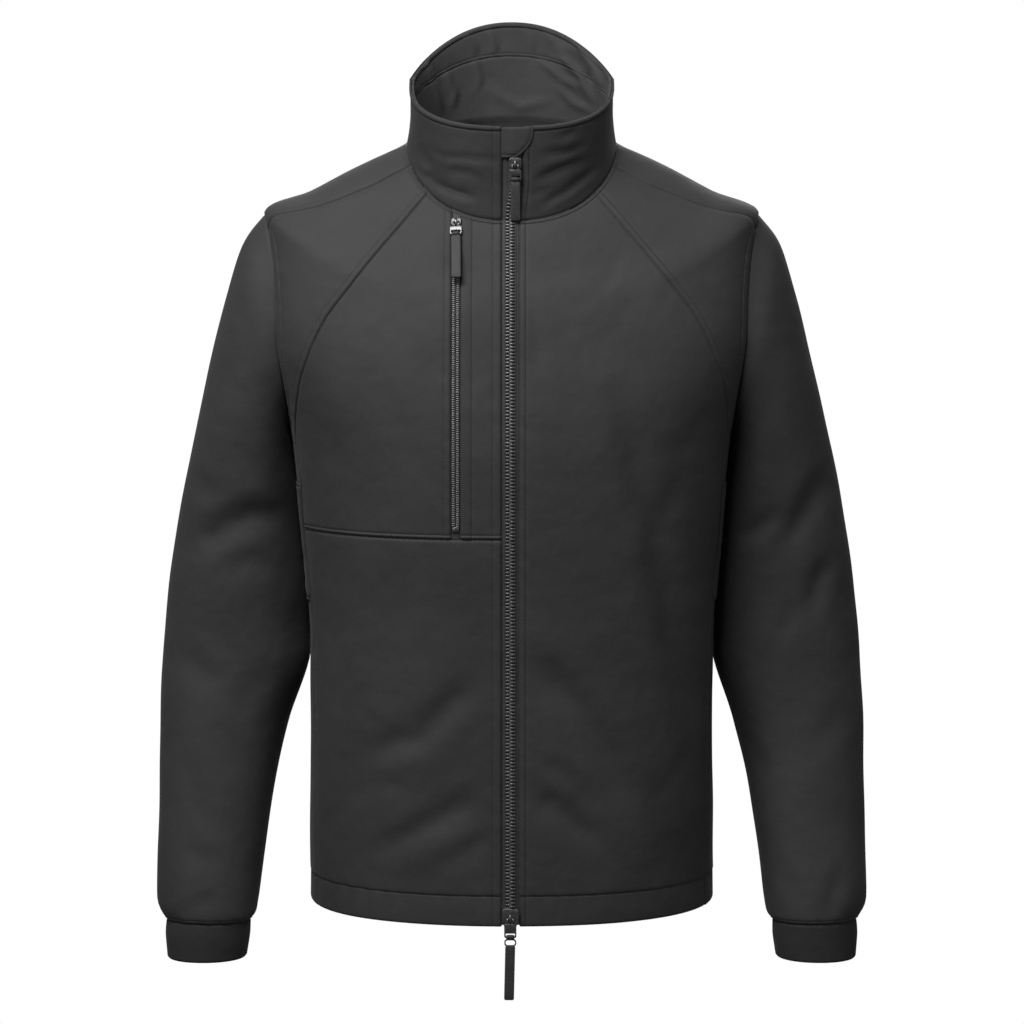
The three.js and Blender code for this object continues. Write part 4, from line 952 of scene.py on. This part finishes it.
def body_panels():
    """The back, the side fronts and the fronts, with their stitches."""
    made = {}
    common = [(LINES["hem"], HEM), (LINES["neck"], NECK_SEAM)]
    of_side = {
        s: [(LINES["side", s], SEAM), (LINES["armhole", s], ARM_SEAM), (LINES["forward", s], SHOULDER_SEAM)]
        for s in SIDES
    }
    kinds = {"start": [SEAM, ARM_SEAM], "end": [SEAM, ARM_SEAM], "low": [HEM], "high": [NECK_SEAM]}
    mitres = [arm_mitre("start", 1, 1, BACK_ROWS), arm_mitre("end", -1, 1, BACK_ROWS), neck_mitre("high")]
    quiet = [LINES["armhole", 1], LINES["armhole", -1], LINES["neck"]]
    seams = common + of_side[1] + of_side[-1]
    cloth = panel("back", TORSO_FORM, back_where, TORSO_ROWS, kinds, seams, mitres=mitres, quiet=quiet,
                  free=("low",))
    sew(cloth, "low", HEM)
    for edge in ("start", "end"):
        sew(cloth, edge, ARM_SEAM, *arm_rows(BACK_ROWS))
    made["back"] = cloth

    rows = len(PRINCESS_LEVELS) - 1
    kinds = {"start": [FELLED], "end": [SEAM, ARM_SEAM], "low": [HEM], "high": [NECK_SEAM]}
    for s, suffix in SIDES.items():
        mitres = [arm_mitre("end", s, -1, FRONT_ROWS), neck_mitre("high")]
        seams = common + of_side[s] + [(LINES["princess", s], FELLED)]
        cloth = panel(f"side_front_{suffix}", TORSO_FORM, side_where(s), rows, kinds, seams, mitres=mitres,
                      quiet=[LINES["armhole", s], LINES["neck"]], free=("low",))
        sew(cloth, "low", HEM)
        sew(cloth, "start", FELLED, 0.1, rows - 0.3)
        sew(cloth, "end", ARM_SEAM, *arm_rows(FRONT_ROWS))
        made[f"side_front_{suffix}"] = cloth

    seam_of = {
        "zip_left": (LINES["zip_left"], PLACKET_LEFT),
        "zip_right": (LINES["zip_right"], PLACKET_RIGHT),
        "pocket_out": (LINES["pocket_out"], POCKET_NARROW),
        "pocket_in": (LINES["pocket_in"], POCKET_WIDE),
        "princess_left": (LINES["princess", 1], SEAM),
        "princess_right": (LINES["princess", -1], SEAM),
        "chest_seam": (LINES["chest"], SEAM),
        "chest_edge": (LINES["chest"], CHEST_EDGE),
    }
    fronts = [
        # name, from, to, lowest and highest level, finishes at the start, end, low and high edge, seams, free
        ("front_left", at_x(ZIP["left"]), princess, 0, NECK, (PLACKET_LEFT, SEAM, HEM, NECK_SEAM),
         ("zip_left", "princess_left"), ("start", "low")),
        ("front_right_lower", lambda v: -princess(v), at_x(ZIP["right"]), 0, CHEST_SEAM,
         (SEAM, PLACKET_RIGHT, HEM, SEAM), ("zip_right", "princess_right", "chest_seam"), ("end", "low")),
        ("chest_right_outer", lambda v: -princess(v), at_x(POCKET_OUT), CHEST_SEAM, NECK,
         (SEAM, POCKET_NARROW, CHEST_EDGE, NECK_SEAM), ("princess_right", "pocket_out", "chest_edge"),
         ("end",)),
        ("chest_right_inner", at_x(POCKET_IN), at_x(ZIP["right"]), CHEST_SEAM, NECK,
         (POCKET_WIDE, PLACKET_RIGHT, CHEST_EDGE, NECK_SEAM), ("pocket_in", "zip_right", "chest_edge"),
         ("start", "end")),
    ]
    for name, start, end, low, high, edge_kinds, along, free in fronts:
        cloth = panel(name, TORSO_FORM, front_where(start, end, low, high), 1,
                      {edge: [kind] for edge, kind in zip(EDGES, edge_kinds)},
                      common + [seam_of[seam] for seam in along],
                      mitres=[neck_mitre("high")] if high == NECK else [], quiet=[LINES["neck"]], free=free)
        for edge, kind in zip(EDGES, edge_kinds):
            sew(cloth, edge, kind)
        made[name] = cloth
    return made


def sleeves_and_cuffs():
    """The sleeves and cuffs: tubes whose columns are closer at the seam under the arm."""
    made = {}
    # as shares of the way round, with the seam at 0.5
    step = np.linspace(0, 1, SLEEVE_COLUMNS + 1)[:-1]
    near = np.array([0.4, 0.9, 1.6, 2.6]) / 300
    columns = np.sort(np.concatenate([step[np.abs(step - 0.5) > 0.0105], [0.5], 0.5 - near, 0.5 + near]))

    def where(t, k):
        return t * 2 * np.pi, k

    for s, suffix in SIDES.items():
        def at_armhole(k, u, v, s=s):
            turn, level = armhole_spot(u[0])
            return TORSO_FORM.spots(s * turn, level)[1]

        def at_cuff(k, u, v, s=s):
            return CUFFS[s].spots(u[-1], 0 * u[-1])[1]

        def at_sleeve(k, u, v, s=s):
            return SLEEVES[s].spots(u[0], 0 * u[0] + CUFF_SEAM)[1]

        seams = [(LINES["armhole", s], SEAM), (LINES["cuff", s], CUFF_TOP), (LINES["arm", s], SEAM),
                 (LINES["underarm", s], UNDERARM_EASE)]
        kinds = {"low": [SEAM], "high": [CUFF_TOP]}
        sleeve = panel(f"sleeve_{suffix}", SLEEVES[s], where, CUFF_SEAM, kinds, seams,
                       mitres=[("low", at_armhole, 1.0), ("high", at_cuff, 1.0)],
                       quiet=[LINES["armhole", s], LINES["cuff", s]], columns=columns)
        seams = [(LINES["cuff", s], SEAM), (LINES["cuff_hem", s], CUFF_HEM)]
        kinds = {"low": [SEAM], "high": [CUFF_HEM]}
        # the cuffs take the darker cuff finish: painted shade on the same softshell
        cuff = panel(f"cuff_{suffix}", CUFFS[s], where, 2, kinds, seams, "cuff", [("low", at_sleeve, 1.0)],
                     [LINES["cuff", s]], columns=columns, free=("high",))
        sew(sleeve, "high", CUFF_TOP)
        made[f"sleeve_{suffix}"], made[f"cuff_{suffix}"] = sleeve, cuff
    return made


def collar_panels():
    """The outer collar, and inside it the lining with the facing band above."""
    level = FINE * RIM
    right = COLLAR_FORM.at(turn_at(COLLAR, ZIP["right"] + START, level), level)
    left = COLLAR_FORM.at(turn_at(COLLAR, left_edge(level), level), level)
    kinds = {"start": [PLACKET_RIGHT], "end": [PLACKET_LEFT], "low": [SEAM], "high": [RIM_EDGE]}
    seams = [(LINES["neck"], SEAM), (LINES["rim"], RIM_EDGE), (right, PLACKET_RIGHT), (left, PLACKET_LEFT)]
    # the outer collar takes the darker collar finish: painted shade on the same softshell
    outer = panel("collar_outer", COLLAR_FORM, collar_where(0, RIM), 1, kinds, seams, "collar",
                  [neck_mitre("low")], [LINES["neck"]], free=("start", "end", "high"), spacing=COLLAR_SPACING)
    sew(outer, "start", PLACKET_RIGHT, 0.02, 0.62)
    sew(outer, "end", PLACKET_LEFT, 0.02, 0.9)
    spare = TAPE["hidden"] + 0.6
    common = {"slot": "inner_cloth", "face": UNDER, "thick": LINING, "inside": True,
              "spacing": COLLAR_SPACING}
    facing = panel("collar_facing", INSIDE_FORM, collar_where(BAND_SEAM, RIM, spare), 1,
                   {"low": [BAND], "high": [RIM_INSIDE]}, [(LINES["band"], BAND), (LINES["rim"], RIM_INSIDE)],
                   free=("high", "start", "end"), **common)
    lining = panel("collar_lining", INSIDE_FORM, collar_where(-0.7, BAND_SEAM, spare), 1, {"high": [SEAM]},
                   [(LINES["band"], SEAM)], free=("low", "start", "end"), **common)
    return {"collar_outer": outer, "collar_facing": facing, "collar_lining": lining}


def garage():
    """The zip garage: a small flap at the top of the front zip."""
    rows = len(GARAGE["ring"]) - 1

    def where(t, k):
        ring, left, right = (between(GARAGE, key, k) for key in ("ring", "left", "right"))
        return turn_at(COLLAR, left + (right - left) * t, ring), ring

    seams = [(COLLAR_FORM.at(*where(FINE, START)), GARAGE_FOLD),
             (COLLAR_FORM.at(*where(START + 1, FINE * rows)), GARAGE_FOLD)]
    cloth = panel("zip_garage", COLLAR_FORM, where, rows, {"low": [GARAGE_FOLD], "end": [GARAGE_FOLD]}, seams,
                  face=lambda t: GAP + (GAP + 0.9) * smooth(t / 0.45), thick=GARAGE_THICK,
                  free=("start", "end", "low", "high"), spacing=GARAGE_SPACING)
    sew(cloth, "end", GARAGE_FOLD, 0.5, 4.8)
    return {"zip_garage": cloth}


def welts():
    """The hand pockets' welts, laid on the side fronts."""
    made = {}
    first, rows = WELT["rows"][0], WELT["rows"][1] - WELT["rows"][0]
    near, far = WELT["across"]
    path = np.linspace(0, rows, 60)
    for s, suffix in SIDES.items():
        def where(t, k, s=s):
            turn, level = outer_edge(first + k, -1, FRONT_ROWS)
            start = princess(level)
            return s * (start + (turn - start) * (near + (far - near) * t)), level

        edges = (FINE, START), (FINE, START + rows), (0 * path, path), (0 * path + 1, path)
        cloth = panel(f"hand_pocket_{suffix}", TORSO_FORM, where, rows, {edge: [WELT_FOLD] for edge in EDGES},
                      [(TORSO_FORM.at(*where(*edge)), WELT_FOLD) for edge in edges],
                      face=GAP + LINING, thick=LINING, free=EDGES)
        for edge in EDGES:
            sew(cloth, edge, WELT_FOLD)
        made[f"hand_pocket_{suffix}"] = cloth
    return made


class Path:
    """A line up the garment at a given x, with the way right, up and out at any distance along it."""

    def __init__(self, x_of, parts):
        points, outs = [], []
        for form, table, levels in parts:
            u = turn_at(table, x_of(form, levels), levels)
            point, out = form.spots(u, levels)
            depth = -folds_in("torso", point, out) + unevenness(point) if form is TORSO_FORM else 0
            calm = smooth(to_line(point, LINES["neck"]) / CALM)
            points.append(point + out * (depth * calm)[..., None])
            outs.append(out)
        self.points, self.outs = np.concatenate(points), np.concatenate(outs)
        self.run = run_of(self.points)

    def at(self, d):
        point, out = taken(d, self.run, self.points), unit(taken(d, self.run, self.outs))
        up = taken(d, self.run, np.gradient(self.points, self.run, axis=0))
        up = unit(up - out * (up * out).sum(-1, keepdims=True))
        return point, np.cross(up, out), up, out


def chamfered(half, bevel):
    """A box with chamfered edges: vertices and faces."""
    bm = bmesh.new()
    bmesh.ops.create_cube(bm, size=2.0)
    for v in bm.verts:
        v.co = Vector((v.co.x * half[0], v.co.y * half[1], v.co.z * half[2]))
    bmesh.ops.bevel(bm, geom=bm.edges[:], offset=bevel, segments=1, affect="EDGES", profile=0.5)
    bm.verts.index_update()
    vertices = np.array([v.co[:] for v in bm.verts])
    faces = [[v.index for v in f.verts] for f in bm.faces]
    bm.free()
    return vertices, faces


def copies(shape, frames):
    """Vertices and faces of one shape set in many frames: (point, right, up, out) each."""
    vertices, faces = shape
    point, right, up, out = frames
    placed = (
        point[:, None]
        + vertices[None, :, :1] * right[:, None]
        + vertices[None, :, 1:2] * up[:, None]
        + vertices[None, :, 2:] * out[:, None]
    )
    count = len(vertices)
    placed_faces = [[i + n * count for i in face] for n in range(len(point)) for face in faces]
    return placed.reshape(-1, 3), placed_faces


def joined(*parts):
    vertices, faces, total = [], [], 0
    for part_vertices, part_faces in parts:
        vertices.append(part_vertices)
        faces += [[i + total for i in face] for face in part_faces]
        total += len(part_vertices)
    return np.concatenate(vertices), faces


def teeth(name, path, row, slot):
    """A closed row of teeth: one side's, then the other's half a pitch on, meeting just past the middle."""
    parts = []
    tooth = chamfered(row["half"], row["bevel"])
    for side, shift in ((1, 0.0), (-1, row["pitch"] / 2)):
        point, right, up, out = path.at(np.arange(row["first"] + shift, path.run[-1], row["pitch"]))
        middle = point + right * (row["off"] * side) + out * row["proud"]
        parts.append(copies(tooth, (middle, right, up, out)))
    return mesh_object(name, *joined(*parts), slot)


def strip(name, sides, hidden):
    """A woven tape between two paths, that rises between the cloth edges that hide its sides.

    hidden is how much of it each edge hides, as a share of its width.
    """
    d = np.linspace(0, 1, 420)
    (left, _, _, left_out), (right, _, _, right_out) = (side.at(d * side.run[-1]) for side in sides)
    steps = np.array([0, 0.5, 0.96, 1.02, 1.1, 1.2]) * hidden
    t = np.concatenate([steps, np.linspace(steps[-1], 1 - steps[-1], 7)[1:-1], 1 - steps[::-1]])
    lift = TAPE["rise"] * smooth((np.minimum(t, 1 - t) / hidden - 1.02) / 0.16)
    t, lift = t[None, :, None], lift[None, :, None]
    point = left[:, None] + (right - left)[:, None] * t
    way = unit(left_out[:, None] + (right_out - left_out)[:, None] * t)
    outer, inner = (point + way * (UNDER + lift - deep) for deep in (0, TAPE["thick"]))
    return shell(name, outer, inner, way, "tape")


def zips():
    """Both zips: their tapes, their teeth, the front one's cords and the pocket one's bottom stop."""
    made = {}
    body = np.linspace(ZIP_ENDS["bottom"], NECK, 420)
    collar = np.linspace(ZIP_ENDS["collar"], RIM - 0.1, 90)
    to_slider = np.linspace(ZIP_ENDS["collar"], ZIP_ENDS["chain_top"], 50)

    def up_front(x_of, collar_rings):
        """A path up the front, from a function that gives its x on each ring of the collar."""
        def x_at(form, levels):
            return x_of(levels if form is COLLAR_FORM else 0 * levels)

        return Path(x_at, [(TORSO_FORM, TORSO, body), (COLLAR_FORM, COLLAR, collar_rings)])

    def up_pocket(x, low, high):
        levels = np.linspace(CHEST_SEAM + low, high, 260)
        return Path(lambda form, v: x + 0 * v, [(TORSO_FORM, TORSO, levels)])

    sides = (up_front(lambda ring: ZIP["right"] - TAPE["hidden"] + 0 * ring, collar),
             up_front(lambda ring: left_edge(ring) + TAPE["hidden"], collar))
    made["front_zip_tape"] = strip("front_zip_tape_cloth", sides, TAPE["front_share"])
    middle = up_front(chain_x, to_slider)
    made["front_zip_teeth"] = teeth("front_zip_chain", middle, TEETH, "teeth")
    point, right, up, out = middle.at(np.linspace(0, middle.run[-1], 500))
    cords = [
        bar(point + right * side * CORDS["off"] - out * CORDS["sunk"], right, out, *CORDS["half"], oval=True)
        for side in (1, -1)
    ]
    made["front_zip_cords"] = mesh_object("front_zip_cords", *joined(*cords), "tape")

    half = POCKET["window"] / 2 + TAPE["hidden"]
    sides = [up_pocket(POCKET["x"] + s * half, *POCKET_ENDS["tape"]) for s in (-1, 1)]
    made["pocket_zip_tape"] = strip("pocket_zip_tape_cloth", sides, TAPE["pocket_share"])
    middle = up_pocket(POCKET["x"], *POCKET_ENDS["chain"])
    made["pocket_zip_teeth"] = teeth("pocket_zip_coil", middle, COIL, "coil")
    point, right, up, out = middle.at(np.array([STOP["up"]]))
    block = copies(chamfered(STOP["half"], STOP["bevel"]), (point - out * STOP["sunk"], right, up, out))
    made["pocket_zip_stop"] = mesh_object("pocket_zip_stop", *block, "gunmetal")
    return made


def outline(half_width, low, high, corner, narrow=0.0, steps=6):
    """A rounded rectangle's points. narrow draws its lower corners in."""
    points = []
    corners = [(1, high, 0), (-1, high, 90), (-1, low, 180), (1, low, 270)]
    for side, y, start in corners:
        width = half_width - (narrow if y == low else 0)
        centre = (side * (width - corner), y - corner if y == high else y + corner)
        for angle in np.radians(np.linspace(start, start + 90, steps)):
            points.append((centre[0] + corner * math.cos(angle), centre[1] + corner * math.sin(angle)))
    return np.array(points)


def inwards(points, by):
    """An outline drawn in by a distance."""
    before, after = np.roll(points, 1, axis=0), np.roll(points, -1, axis=0)
    tangent = unit(after - before)
    return points + np.stack([-tangent[:, 1], tangent[:, 0]], -1) * by


def slab(points, z0, z1, bevel, hole=None, crown=0.0):
    """A plate from an outline, with rounded edges, and a hole with as many points or a crowned face."""
    profile = [(bevel, z0), (bevel * 0.3, z0 + bevel * 0.3), (0, z0 + bevel),
               (0, z1 - bevel), (bevel * 0.3, z1 - bevel * 0.3), (bevel, z1)]
    loops = [(inwards(points, by), z) for by, z in profile]
    if hole is None:
        flat = inwards(points, bevel)
        middle = flat.mean(0)
        dome = ((0.6, 0.7), (0.25, 1.0))
        loops += [(middle + (flat - middle) * share, z1 + crown * lift) for share, lift in dome]
        faces = walls(len(loops), len(points)) + ends_of(len(loops), len(points))
    else:
        loops += [(inwards(hole, -by), z) for by, z in profile[::-1]]
        faces = walls(len(loops), len(points), closed=True)
    return np.concatenate([np.column_stack([flat, np.full(len(flat), z)]) for flat, z in loops]), faces


def bar(centres, sides, ups, half_width, half_height, around=8, oval=False):
    """A bar along points, each with its own side and up, with a rounded or an oval section."""
    angles = np.linspace(0, 2 * np.pi, around + 1)[:-1] + (0 if oval else np.pi / around)
    c, s = np.cos(angles), np.sin(angles)
    r = 1 if oval else (np.abs(c) ** 4 + np.abs(s) ** 4) ** -0.25
    centres, sides, ups = (np.array(v, float) for v in (centres, sides, ups))
    ring = centres[:, None] + sides[:, None] * (half_width * c * r)[None, :, None]
    ring = ring + ups[:, None] * (half_height * s * r)[None, :, None]
    return ring.reshape(-1, 3), walls(len(centres), around) + ends_of(len(centres), around)


def bent_bar(points, half_width, half_height):
    """A bar along points in the plane of y and z."""
    sides = np.tile([1.0, 0, 0], (len(points), 1))
    return bar(points, sides, np.cross(sides, unit(np.gradient(points, axis=0))), half_width, half_height)


def slider_shape(size, wedge):
    """A slider's plates, its neck between them, its flanges over the teeth and its bridge."""
    w, h = size * SLIDER["half_width"], size * SLIDER["half_height"]
    face, back, bevel = SLIDER["clear"], SLIDER["back"], SLIDER["bevel"]
    top = face + SLIDER["plate"]
    body = outline(w, -h, h, SLIDER["corner"], 0.22 * w)
    plates = [slab(body, face, top, bevel, crown=0.35), slab(body, back - SLIDER["back_plate"], back, bevel)]
    lip = outline(0.16 * w, -0.55 * h, 0.85 * h, 0.15 * w)
    lips = [slab(lip + [side * 0.86 * w, 0], face - 0.5, top + SLIDER["lip"], 0.4) for side in (-1, 1)]
    join_y = h - 2.2 if wedge > 0 else -h + 0.2
    neck = slab(outline(1.2, join_y, join_y + 2.0, 0.5), back - 0.3, face + 0.3, 0.1)
    reach, rise = SLIDER["bridge_reach"], SLIDER["bridge_rise"]
    along = np.radians(np.linspace(0, 180, 9))
    bridge = np.array([(0, -reach * math.cos(a), top - 0.3 + rise * math.sin(a) ** 0.6) for a in along])
    return joined(*plates, *lips, neck, bent_bar(bridge, 1.2, 0.45))


def tab_shape(length):
    """A pull tab: a pin under the bridge, two arms, and a plate with a slot for the puller."""
    pin = bar([(x, 0, TAB_AXIS) for x in (-TAB["pin"], TAB["pin"])], [(0, 1, 0)] * 2, [(0, 0, 1)] * 2,
              TAB["pin_half"], TAB["pin_half"])
    arms = []
    for side in (-1, 1):
        centres = [(side * TAB["arm"], y, TAB_AXIS) for y in TAB["arm_ends"]]
        arms.append(bar(centres, [(1, 0, 0)] * 3, [(0, 0, 1)] * 3, *TAB["arm_half"]))
    body = outline(TAB["half"], -length, -TAB["window"], TAB["corner"])
    hole_low = TAB["bar"] - length
    hole = outline(TAB["half"] - TAB["side"], hole_low, hole_low + TAB["slot"], 0.6)
    plate = slab(body, TAB_AXIS - TAB["thick"] / 2, TAB_AXIS + TAB["thick"] / 2, 0.35, hole)
    return joined(pin, *arms, plate)


def puller_shape(length, strip_length, bend, eye):
    """A soft puller: a folded strip that goes round the tab's lower bar, with an open loop as long as eye."""
    turns = np.linspace(0, 2 * np.pi, 17)
    y, z = PULLER["round_bar"]
    centre_y = TAB["bar"] / 2 - length
    loop = np.column_stack([0 * turns, centre_y + y * np.cos(turns), TAB_AXIS + z * np.sin(turns)])
    wrap = bent_bar(loop, TAB["half"] - TAB["side"] - PULLER["side_gap"], PULLER["wrap"])
    eyes = []
    top = -length - PULLER["below_bar"]
    if eye:
        inner = EYE["half"] - EYE["side"], top - eye + EYE["side"], top - EYE["side"], EYE["corners"][1]
        outer = outline(EYE["half"], top - eye, top, EYE["corners"][0])
        half = EYE["half_thick"]
        eyes = [slab(outer, TAB_AXIS - half, TAB_AXIS + half, 0.4, outline(*inner))]
        top = top - eye + EYE["over"]
    body = outline(PULLER["half"], -length - strip_length, top, PULLER["corner"])
    half = PULLER["half_thick"]
    vertices, faces = slab(body, TAB_AXIS - half, TAB_AXIS + half, 0.7, crown=0.15)
    down = np.clip((top - vertices[:, 1]) / strip_length, 0, 1)
    vertices[:, 0] += bend * np.sin(down * np.pi * 0.8)
    vertices[:, 2] += 0.25 * np.sin(down * 7)
    return joined(wrap, (vertices, faces), *eyes)


def frame_at(on_collar, x, at):
    """The place of a slider, and the way right, up and out there."""
    form, table = (COLLAR_FORM, COLLAR) if on_collar else (TORSO_FORM, TORSO)
    point, out = form.spots(turn_at(table, x, at), np.array(at))
    point = point - out * (folds_in(form.kind, point, out) if not on_collar else 0)
    ends = [form.at(turn_at(table, x, at + d), np.array(at + d)) for d in (0.02, -0.02)]
    up = ends[0] - ends[1]
    up = unit(up - out * (up @ out))
    return point, np.cross(up, out), up, out


def fastenings():
    """The three sliders, their tabs and their pullers."""
    made = {}
    for name, on_collar, x, at, wedge, size, length, strip_length, bend, eye in SLIDERS:
        frame = [v[None] for v in frame_at(on_collar, x, at)]
        shapes = {
            "slider": (slider_shape(size, wedge), "gunmetal"),
            "tab": (tab_shape(length), "gunmetal"),
            "puller": (puller_shape(length, strip_length, bend, eye), "puller"),
        }
        for part, (shape, slot) in shapes.items():
            made[f"{name}_{part}"] = mesh_object(f"{name}_{part}_made", *copies(shape, frame), slot)
    return made


class Nodes:
    """A small helper that builds a material's nodes."""

    def __init__(self, name):
        self.material = bpy.data.materials.new(name)
        self.material.use_nodes = True
        self.tree = self.material.node_tree
        self.shader = self.tree.nodes["Principled BSDF"]
        self.place = self.add("ShaderNodeTexCoord").outputs["Object"]

    def add(self, kind, values=(), **settings):
        node = self.tree.nodes.new(kind)
        for key, value in settings.items():
            setattr(node, key, value)
        for key, value in dict(values).items():
            if isinstance(value, bpy.types.NodeSocket):
                self.tree.links.new(value, node.inputs[key])
            else:
                node.inputs[key].default_value = value
        return node

    def noise(self, scale, detail=3.0, rough=0.5):
        values = {"Vector": self.place, "Scale": scale, "Detail": detail, "Roughness": rough}
        return self.add("ShaderNodeTexNoise", values).outputs["Fac"]

    def maths(self, operation, a, b):
        return self.add("ShaderNodeMath", {0: a, 1: b}, operation=operation).outputs[0]

    def mix(self, factor, a, b):
        node = self.add("ShaderNodeMix", data_type="RGBA")
        sockets = {"Factor": factor, "A": a, "B": b}
        for socket in node.inputs:
            value = sockets.get(socket.name)
            if value is None or not socket.enabled or (socket.name != "Factor" and socket.type != "RGBA"):
                continue
            if isinstance(value, bpy.types.NodeSocket):
                self.tree.links.new(value, socket)
            else:
                socket.default_value = value
        return [o for o in node.outputs if o.enabled][0]

    def ramp(self, value, low, high):
        return self.add("ShaderNodeMapRange", {"Value": value, "From Min": low, "From Max": high}).outputs[0]

    def bump(self, height, strength, distance, normal=None):
        values = {"Height": height, "Strength": strength, "Distance": distance}
        if normal is not None:
            values["Normal"] = normal
        return self.add("ShaderNodeBump", values).outputs["Normal"]

    def weave(self, pitch):
        """Threads over and under, about pitch metres apart, from two bands across each other."""
        scale = 1 / pitch / 10 * 2
        bands = [self.wave(way, {"Scale": scale, "Distortion": 0.6, "Detail": 1.0}) for way in ("X", "Z")]
        return self.maths("MULTIPLY", *bands)

    def wave(self, way, values):
        values = {"Vector": self.place, **values}
        return self.add("ShaderNodeTexWave", values, wave_type="BANDS", bands_direction=way).outputs["Fac"]

    def set(self, **values):
        """Sets the shader's inputs by their names in small letters."""
        named = {socket.name.lower().replace(" ", "_"): socket for socket in self.shader.inputs}
        for key, value in values.items():
            if isinstance(value, bpy.types.NodeSocket):
                self.tree.links.new(value, named[key])
            else:
                named[key].default_value = value
        return self.material


def grey(value):
    return value, value, value, 1


def cloth_material(name, dark, light, pitch, sheen, rough, weave):
    n = Nodes(name)
    broad = n.ramp(n.noise(14, 4.0), 0.35, 0.65)
    fine = n.ramp(n.noise(1500, 2.0), 0.3, 0.7)
    colour = n.mix(broad, grey(dark), grey((dark + light) / 2))
    colour = n.mix(n.maths("MULTIPLY", fine, 0.5), colour, grey(light))
    normal = n.bump(n.weave(pitch), weave, 0.0003)
    normal = n.bump(n.noise(900, 3.0), 0.25, 0.0003, normal)
    normal = n.bump(n.noise(60, 3.0), 0.16, 0.004, normal)
    normal = n.bump(n.noise(22, 2.0), 0.2, 0.012, normal)
    roughness = n.maths("ADD", n.maths("MULTIPLY", fine, 0.1), rough)
    return n.set(base_color=colour, roughness=roughness, normal=normal, sheen_weight=sheen,
                 sheen_roughness=0.4, specular_ior_level=0.3)


def hard_material(name, colour, metallic, rough, wear):
    n = Nodes(name)
    marks = n.ramp(n.noise(420, 5.0, 0.65), 0.45, 0.75)
    shade = n.mix(marks, grey(colour), grey(wear))
    roughness = n.maths("ADD", n.maths("MULTIPLY", marks, 0.15), rough)
    normal = n.bump(n.noise(700, 4.0), 0.08, 0.0004)
    return n.set(base_color=shade, metallic=metallic, roughness=roughness, normal=normal)


def thread_material():
    n = Nodes("thread")
    twist = n.wave("DIAGONAL", {"Scale": THREAD["twist"], "Distortion": 1.0})
    shade = n.mix(twist, grey(THREAD["dark"]), grey(THREAD["light"]))
    return n.set(base_color=shade, roughness=THREAD["rough"], normal=n.bump(twist, 0.4, 0.0002))


def finishes():
    """Each finish: its material and the record's slot for it."""
    made = {"thread": (thread_material(), "softshell")}
    for looks, material in ((CLOTH_LOOKS, cloth_material), (HARD_LOOKS, hard_material)):
        for name, (slot, *values) in looks.items():
            made[name] = material(name, *values), slot
    return made


def white_world():
    """A world that the camera sees as white and that lights the scene softly."""
    world = bpy.data.worlds.new("white")
    world.use_nodes = True
    tree = world.node_tree
    back = tree.nodes["Background"]
    seen = tree.nodes.new("ShaderNodeBackground")
    for node, strength in ((back, AMBIENT), (seen, 1.0)):
        node.inputs["Color"].default_value = (1, 1, 1, 1)
        node.inputs["Strength"].default_value = strength
    path = tree.nodes.new("ShaderNodeLightPath")
    mix = tree.nodes.new("ShaderNodeMixShader")
    tree.links.new(path.outputs["Is Camera Ray"], mix.inputs[0])
    tree.links.new(back.outputs[0], mix.inputs[1])
    tree.links.new(seen.outputs[0], mix.inputs[2])
    tree.links.new(mix.outputs[0], tree.nodes["World Output"].inputs["Surface"])
    return world


def surroundings():
    """White surroundings, soft light from above and in front, and the camera."""
    scene = bpy.context.scene
    scene.world = white_world()
    for name, place, aim, size, power in LIGHTS:
        data = bpy.data.lights.new(name, "AREA")
        data.shape, data.size, data.size_y, data.energy = "RECTANGLE", *size, power
        light = bpy.data.objects.new(name, data)
        light.location = place
        light.rotation_euler = (Vector(aim) - Vector(place)).to_track_quat("-Z", "Y").to_euler()
        scene.collection.objects.link(light)
    camera = bpy.data.objects.new("camera", bpy.data.cameras.new("camera"))
    camera.data.lens, camera.data.sensor_width = CAMERA["lens"], CAMERA["sensor"]
    camera.location = CAMERA["place"]
    camera.rotation_euler = (math.radians(CAMERA["tilt"]), 0, 0)
    scene.collection.objects.link(camera)
    scene.camera = camera
    scene.render.resolution_x = scene.render.resolution_y = PIXELS
    scene.view_settings.view_transform = "Standard"


def body_for(name):
    start, _, end = name.partition("_")
    return BODY_OF[start] if end in ("tab", "puller") else "garment"


def main():
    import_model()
    FINISHES.update(finishes())
    cloths = {**body_panels(), **sleeves_and_cuffs(), **collar_panels(), **garage(), **welts()}
    pieces = {name: cloth["obj"] for name, cloth in cloths.items()}
    pieces.update(zips())
    pieces.update(fastenings())
    pieces["stitches"] = stitch_object("stitches", "thread")
    for name, piece in pieces.items():
        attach(piece, body_for(name))
        if name not in ALONE:
            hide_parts(name)
    surroundings()


main()
